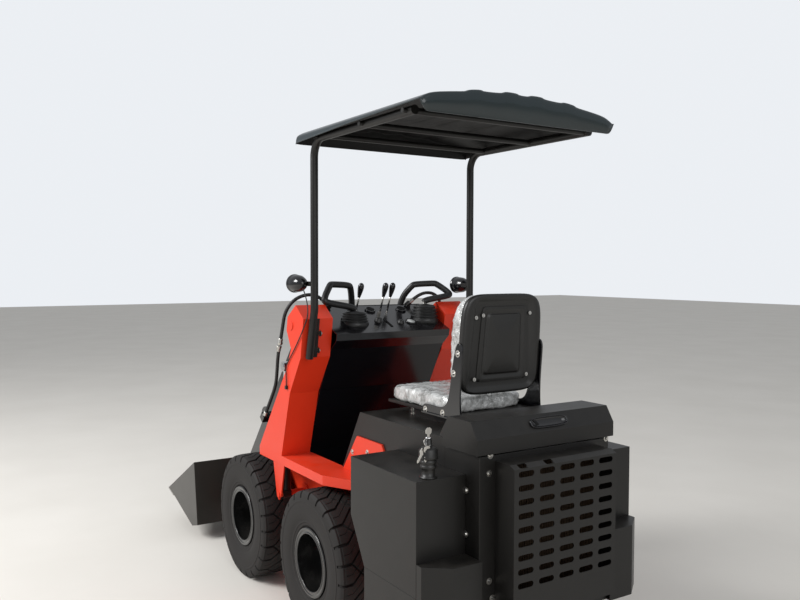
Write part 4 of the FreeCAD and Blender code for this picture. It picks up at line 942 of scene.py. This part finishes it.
for number, y in enumerate((68, -66, -105)):
    stem = turned(f"knob_stem_{number}", KNOB_STEM, on_deck(-20, y, -4), deck_up, zinc, steps=20)
    knob = turned(f"knob_{number}", KNOB, on_deck(-20, y, -4), deck_up, black_gloss, steps=32)
    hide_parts("knob_levers")
    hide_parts("knob_levers")
for number, (x, y, radius, height) in enumerate(GAUGES):
    foot, r, h = on_deck(x, y, -2), radius / 1000, height / 1000
    ring = [(0, 0), (0, r), (h, r), (h + 0.002, r - 0.002), (h + 0.002, r - 0.0045), (h - 0.001, r - 0.006),
            (h - 0.001, 0)]
    dial = [(h - 0.0008, 0), (h - 0.0008, r - 0.0062), (h, r - 0.0066), (h, 0)]
    bezel = turned(f"bezel_{number}", ring, foot, deck_up, black_gloss, steps=40)
    turned(f"gauge_face_{number}", dial, foot, deck_up, dial_face if number == 0 else dark_inside, steps=40)
    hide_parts("instruments")
for name, x, y, radius, height in BUTTONS:
    r, h = radius / 1000, height / 1000
    outline = [(0, 0), (0, r * 1.25), (0.004, r * 1.25), (0.005, r), (h, r), (h + 0.002, r * 0.8),
               (h + 0.002, 0)]
    button = turned(name, outline, on_deck(x, y, -1), deck_up, black_plastic, steps=32)
    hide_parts("instruments")
prism("ignition_key", [on_deck(-160, 33, 16) + deck_up * a + Vector((0, b, 0)) for a, b in KEY_GRIP],
      (0.002, 0, 0), zinc)
# A thin near-black plate on the deck is painted shade: it stands for the dark inside a slot.
slot_corners = [on_deck(x, y, 0.6) for x, y in ((-217, -15), (-142, -15), (-142, -3), (-217, -3))]
slot_shade = prism("deck_slot_plate", slot_corners, deck_up * 0.002, dark_inside)
round_edges(slot_shade, 0.0015, segments=2, harden=False)
print("gauges", len(GAUGES), "buttons", len(BUTTONS))

# %% [markdown]
# Work lamps hang on the posts: a black bowl, a lens in a rim, and a short arm. The fuel filler is a
# ribbed neck with a wide cap and a lock whose keys still hang in it.

# %% Work lamps
LAMP_X, LAMP_Y = -160, 437
BOWL = [(-0.060, 0), (-0.058, 0.010), (-0.050, 0.020), (-0.036, 0.029), (-0.014, 0.036), (0.010, 0.038),
        (0.026, 0.038), (0.030, 0.0405), (0.034, 0.0405), (0.036, 0.038), (0.032, 0.034), (0.028, 0)]
LENS = [(0.026, 0), (0.0275, 0.0338), (0.031, 0.0338), (0.034, 0.022), (0.0355, 0.010), (0.036, 0)]
LAMP_ARM = ((-262, -10), (-196, -10), (-188, 0), (-196, 10), (-262, 10))
for side, sign, z in (("left", 1, 1440), ("right", -1, 1426)):
    centre = place(LAMP_X, sign * LAMP_Y, z)
    bowl = turned(f"lamp_bowl_{side}", BOWL, centre, (1, 0, 0), black_gloss)
    turned(f"lamp_lens_{side}", LENS, centre, (1, 0, 0), clear_glass)
    prism(f"lamp_arm_{side}", in_profile([(x, z + dz) for x, dz in LAMP_ARM], sign * 411),
          (0, sign * 0.005, 0), black_plastic)
    turned(f"lamp_stub_{side}", rod(0.007, 0.022), place(-200, sign * 412, z), (0, sign, 0), zinc, steps=20)
    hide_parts("work_lamps")
print("lamp", [round(v, 3) for v in centre])

# %% Filler and keys
FILLER_X, FILLER_Y = -1147, 430
FILLER = [(0.000, 0), (0.000, 0.030), (0.004, 0.030), (0.006, 0.023), (0.030, 0.023), (0.034, 0.028),
          (0.042, 0.028), (0.046, 0.023), (0.050, 0.028), (0.058, 0.028), (0.062, 0.023), (0.064, 0.032),
          (0.070, 0.0335), (0.074, 0.032), (0.092, 0.032), (0.100, 0.027), (0.102, 0.020), (0.102, 0.013),
          (0.124, 0.012), (0.130, 0.009), (0.131, 0)]
LOCK = [(0, 0), (0, 0.0105), (0.004, 0.0105), (0.005, 0.008), (0.005, 0)]
KEY = [(-0.001, 0.0), (-0.010, -0.004), (-0.013, -0.014), (-0.006, -0.023), (-0.003, -0.026),
       (-0.003, -0.052), (0.001, -0.056), (0.005, -0.050), (0.004, -0.045), (0.006, -0.040),
       (0.004, -0.035), (0.005, -0.026), (0.012, -0.018), (0.011, -0.006)]
KEY_HEAD = ((-0.003, 0), (-0.004, 0.010), (-0.011, 0.014), (-0.012, 0.026), (-0.005, 0.033),
            (0.005, 0.033), (0.012, 0.026), (0.011, 0.014), (0.004, 0.010), (0.003, 0))
KEY_SHEET = (-0.0022, 0, 0)
filler = turned("filler_neck", FILLER, place(FILLER_X, FILLER_Y, 814), (0, 0, 1), black_plastic, steps=56)
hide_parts("fuel_filler")
turned("filler_lock", LOCK, place(FILLER_X, FILLER_Y, 944), (0, 0, 1), chrome, steps=28)
for number, (lean, base) in enumerate(((0.55, (-1158, 452, 918)), (0.15, (-1164, 446, 926)))):
    turn = Matrix.Rotation(lean, 3, "X")
    prism(f"hanging_key_{number}", [place(*base) + turn @ Vector((0, a, b)) for a, b in KEY], KEY_SHEET, zinc)
ring_points = []
for k in range(25):
    c, s = math.cos(math.tau * k / 24), math.sin(math.tau * k / 24)
    ring_points.append(place(-1156, 440, 934) + Vector((0.004 * s, 0.013 * c, 0.013 * s)))
line_along("key_ring", ring_points, 0.0011, zinc)
prism("key_in_lock", [place(FILLER_X, FILLER_Y, 948) + Vector((0, a, b)) for a, b in KEY_HEAD],
      KEY_SHEET, zinc)
print("filler top", FILLER[-1][0])

# %% [markdown]
# The rear lid has a low oval handle on its slope, with a small dark latch. Bolts close the work on the
# sheet parts. Their places come from the photograph, and the far side mirrors the near one.

# %% Lid handle
LID_CREST = place(-1229, 0, 1000)
LID_LOW = Vector((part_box("hood_lid")[0].x, 0, 0.944))
down_slope = (LID_LOW - LID_CREST).normalized()
off_slope = Vector((down_slope.z, 0, -down_slope.x)).normalized()
HANDLE_RINGS = ((1.0, 0.0), (1.0, 0.006), (0.95, 0.0085), (0.88, 0.0085), (0.84, 0.006), (0.80, 0.0015),
                (0.02, 0.001))
LATCH = ((0.050, 0.024, 0.002), (0.060, 0.024, 0.002), (0.060, 0.044, 0.012), (0.050, 0.044, 0.012))
OVAL_STEPS = 96


def on_lid(y, along, out):
    """A point on the lid's rear slope: its place across, how far down from the crest, and how far out."""
    return LID_CREST + Vector((0, y, 0)) + down_slope * along + off_slope * out


handle_rings = []
for share, out in HANDLE_RINGS:
    ring = []
    for k in range(OVAL_STEPS):
        a, b = rounded_square(math.tau * k / OVAL_STEPS, 3.5)
        ring.append(on_lid(-0.010 + 0.086 * a * (0.6 + 0.4 * share), 0.034 + 0.020 * b * share, out))
    handle_rings.append(ring)
piece("lid_handle", *loft(handle_rings, caps=True), black_gloss)
prism("handle_latch", [on_lid(*corner) for corner in LATCH], off_slope * 0.006, dark_inside)
print("lid slope", [round(v, 3) for v in down_slope])

# %% Bolts on the sheet


def mirrored(spots, y, facing=1):
    """Bolts at (x, z) on both sides of the machine. They face outwards, or inwards with -1."""
    return [(place(x, sign * y, z), (0, sign * facing, 0)) for x, z in spots for _, sign in SIDES]


rear_bolts = [(place(-1256, y, z), (-1, 0, 0))
              for y, z in ((255, 887), (260, 828), (257, 464), (243, 404), (-288, 884))]
post_bolts = mirrored(((-232, 1226), (-214, 1152)), 366, facing=-1)
cabinet_bolts = rear_bolts + mirrored(((-1184, 761), (-1184, 611)), 300)
cheek_bolts = mirrored(((-411, 741), (-535, 763)), 308) + mirrored(((-627, 936), (-627, 921)), 150)
fasteners("post_bolts", post_bolts, Radius=0.0085, Height=0.007)
fasteners("cabinet_bolts", cabinet_bolts, Radius=0.0075, Height=0.006)
fasteners("cheek_bolts", cheek_bolts, Radius=0.0070, Height=0.006)
print("bolts", len(post_bolts) + len(cabinet_bolts) + len(cheek_bolts))

# %% [markdown]
# The floor is pale and plain, and the light is soft: a bright sky, a broad lamp high on the left and a
# weaker one behind the machine. The camera stands where the photograph was taken.

# %% Floor, world, lamps and camera
REACH = 30.0
floor_finish, floor_shader, floor_where = blank_material("floor")
floor_tone = noise_of(floor_where, 1.3, 5.0).ramp(0.2, 0.8)
feed(floor_shader, Base_Color=floor_tone.mix((0.70, 0.67, 0.62), (0.76, 0.73, 0.68)), Roughness=0.9,
     Specular_IOR_Level=0.2)
floor_mesh = bpy.data.meshes.new("floor")
floor_mesh.from_pydata([(-REACH, -REACH, 0), (REACH, -REACH, 0), (REACH, REACH, 0), (-REACH, REACH, 0)], [],
                       [(0, 1, 2, 3)])
floor_mesh.materials.append(floor_finish)
floor = bpy.data.objects.new("floor", floor_mesh)
scene.collection.objects.link(floor)

world = bpy.data.worlds.new("soft_sky")
scene.world = world
world.use_nodes = True
sky = world.node_tree.nodes["Background"]
sky.inputs["Color"].default_value = (0.93, 0.96, 1.0, 1)
path = world.node_tree.nodes.new("ShaderNodeLightPath")
seen = Wire(world.node_tree, path.outputs["Is Camera Ray"])
world.node_tree.links.new((seen * 0.38 + 0.52).socket, sky.inputs["Strength"])


def soft_lamp(name, spot, target, side, energy):
    """A square lamp that looks at a point."""
    light = bpy.data.lights.new(name, "AREA")
    light.shape = "SQUARE"
    light.size = side
    light.energy = energy
    made = bpy.data.objects.new(name, light)
    made.location = spot
    made.rotation_euler = (Vector(target) - Vector(spot)).to_track_quat("-Z", "Y").to_euler()
    scene.collection.objects.link(made)


soft_lamp("left_sky", (1.6, 6.0, 5.2), (0, 0, 0.8), 3.0, 520)
soft_lamp("rear_fill", (-6.0, 0.5, 3.5), (-0.5, 0, 0.8), 4.0, 110)

CAMERA_PLACE = (-3.397, 1.93, 1.509)
YAW, PITCH_DOWN, ROLL = -0.5668, -0.0400, 0.0023
camera_data = bpy.data.cameras.new("photo_camera")
camera_data.sensor_width = 36
camera_data.lens = 36.2
camera = bpy.data.objects.new("photo_camera", camera_data)
look = Vector((math.cos(YAW) * math.cos(PITCH_DOWN), math.sin(YAW) * math.cos(PITCH_DOWN),
               math.sin(PITCH_DOWN)))
camera.rotation_euler = (look.to_track_quat("-Z", "Y").to_matrix() @ Matrix.Rotation(ROLL, 3, "Z")).to_euler()
camera.location = CAMERA_PLACE
scene.collection.objects.link(camera)
scene.camera = camera
print("camera", CAMERA_PLACE, "lens", camera_data.lens)
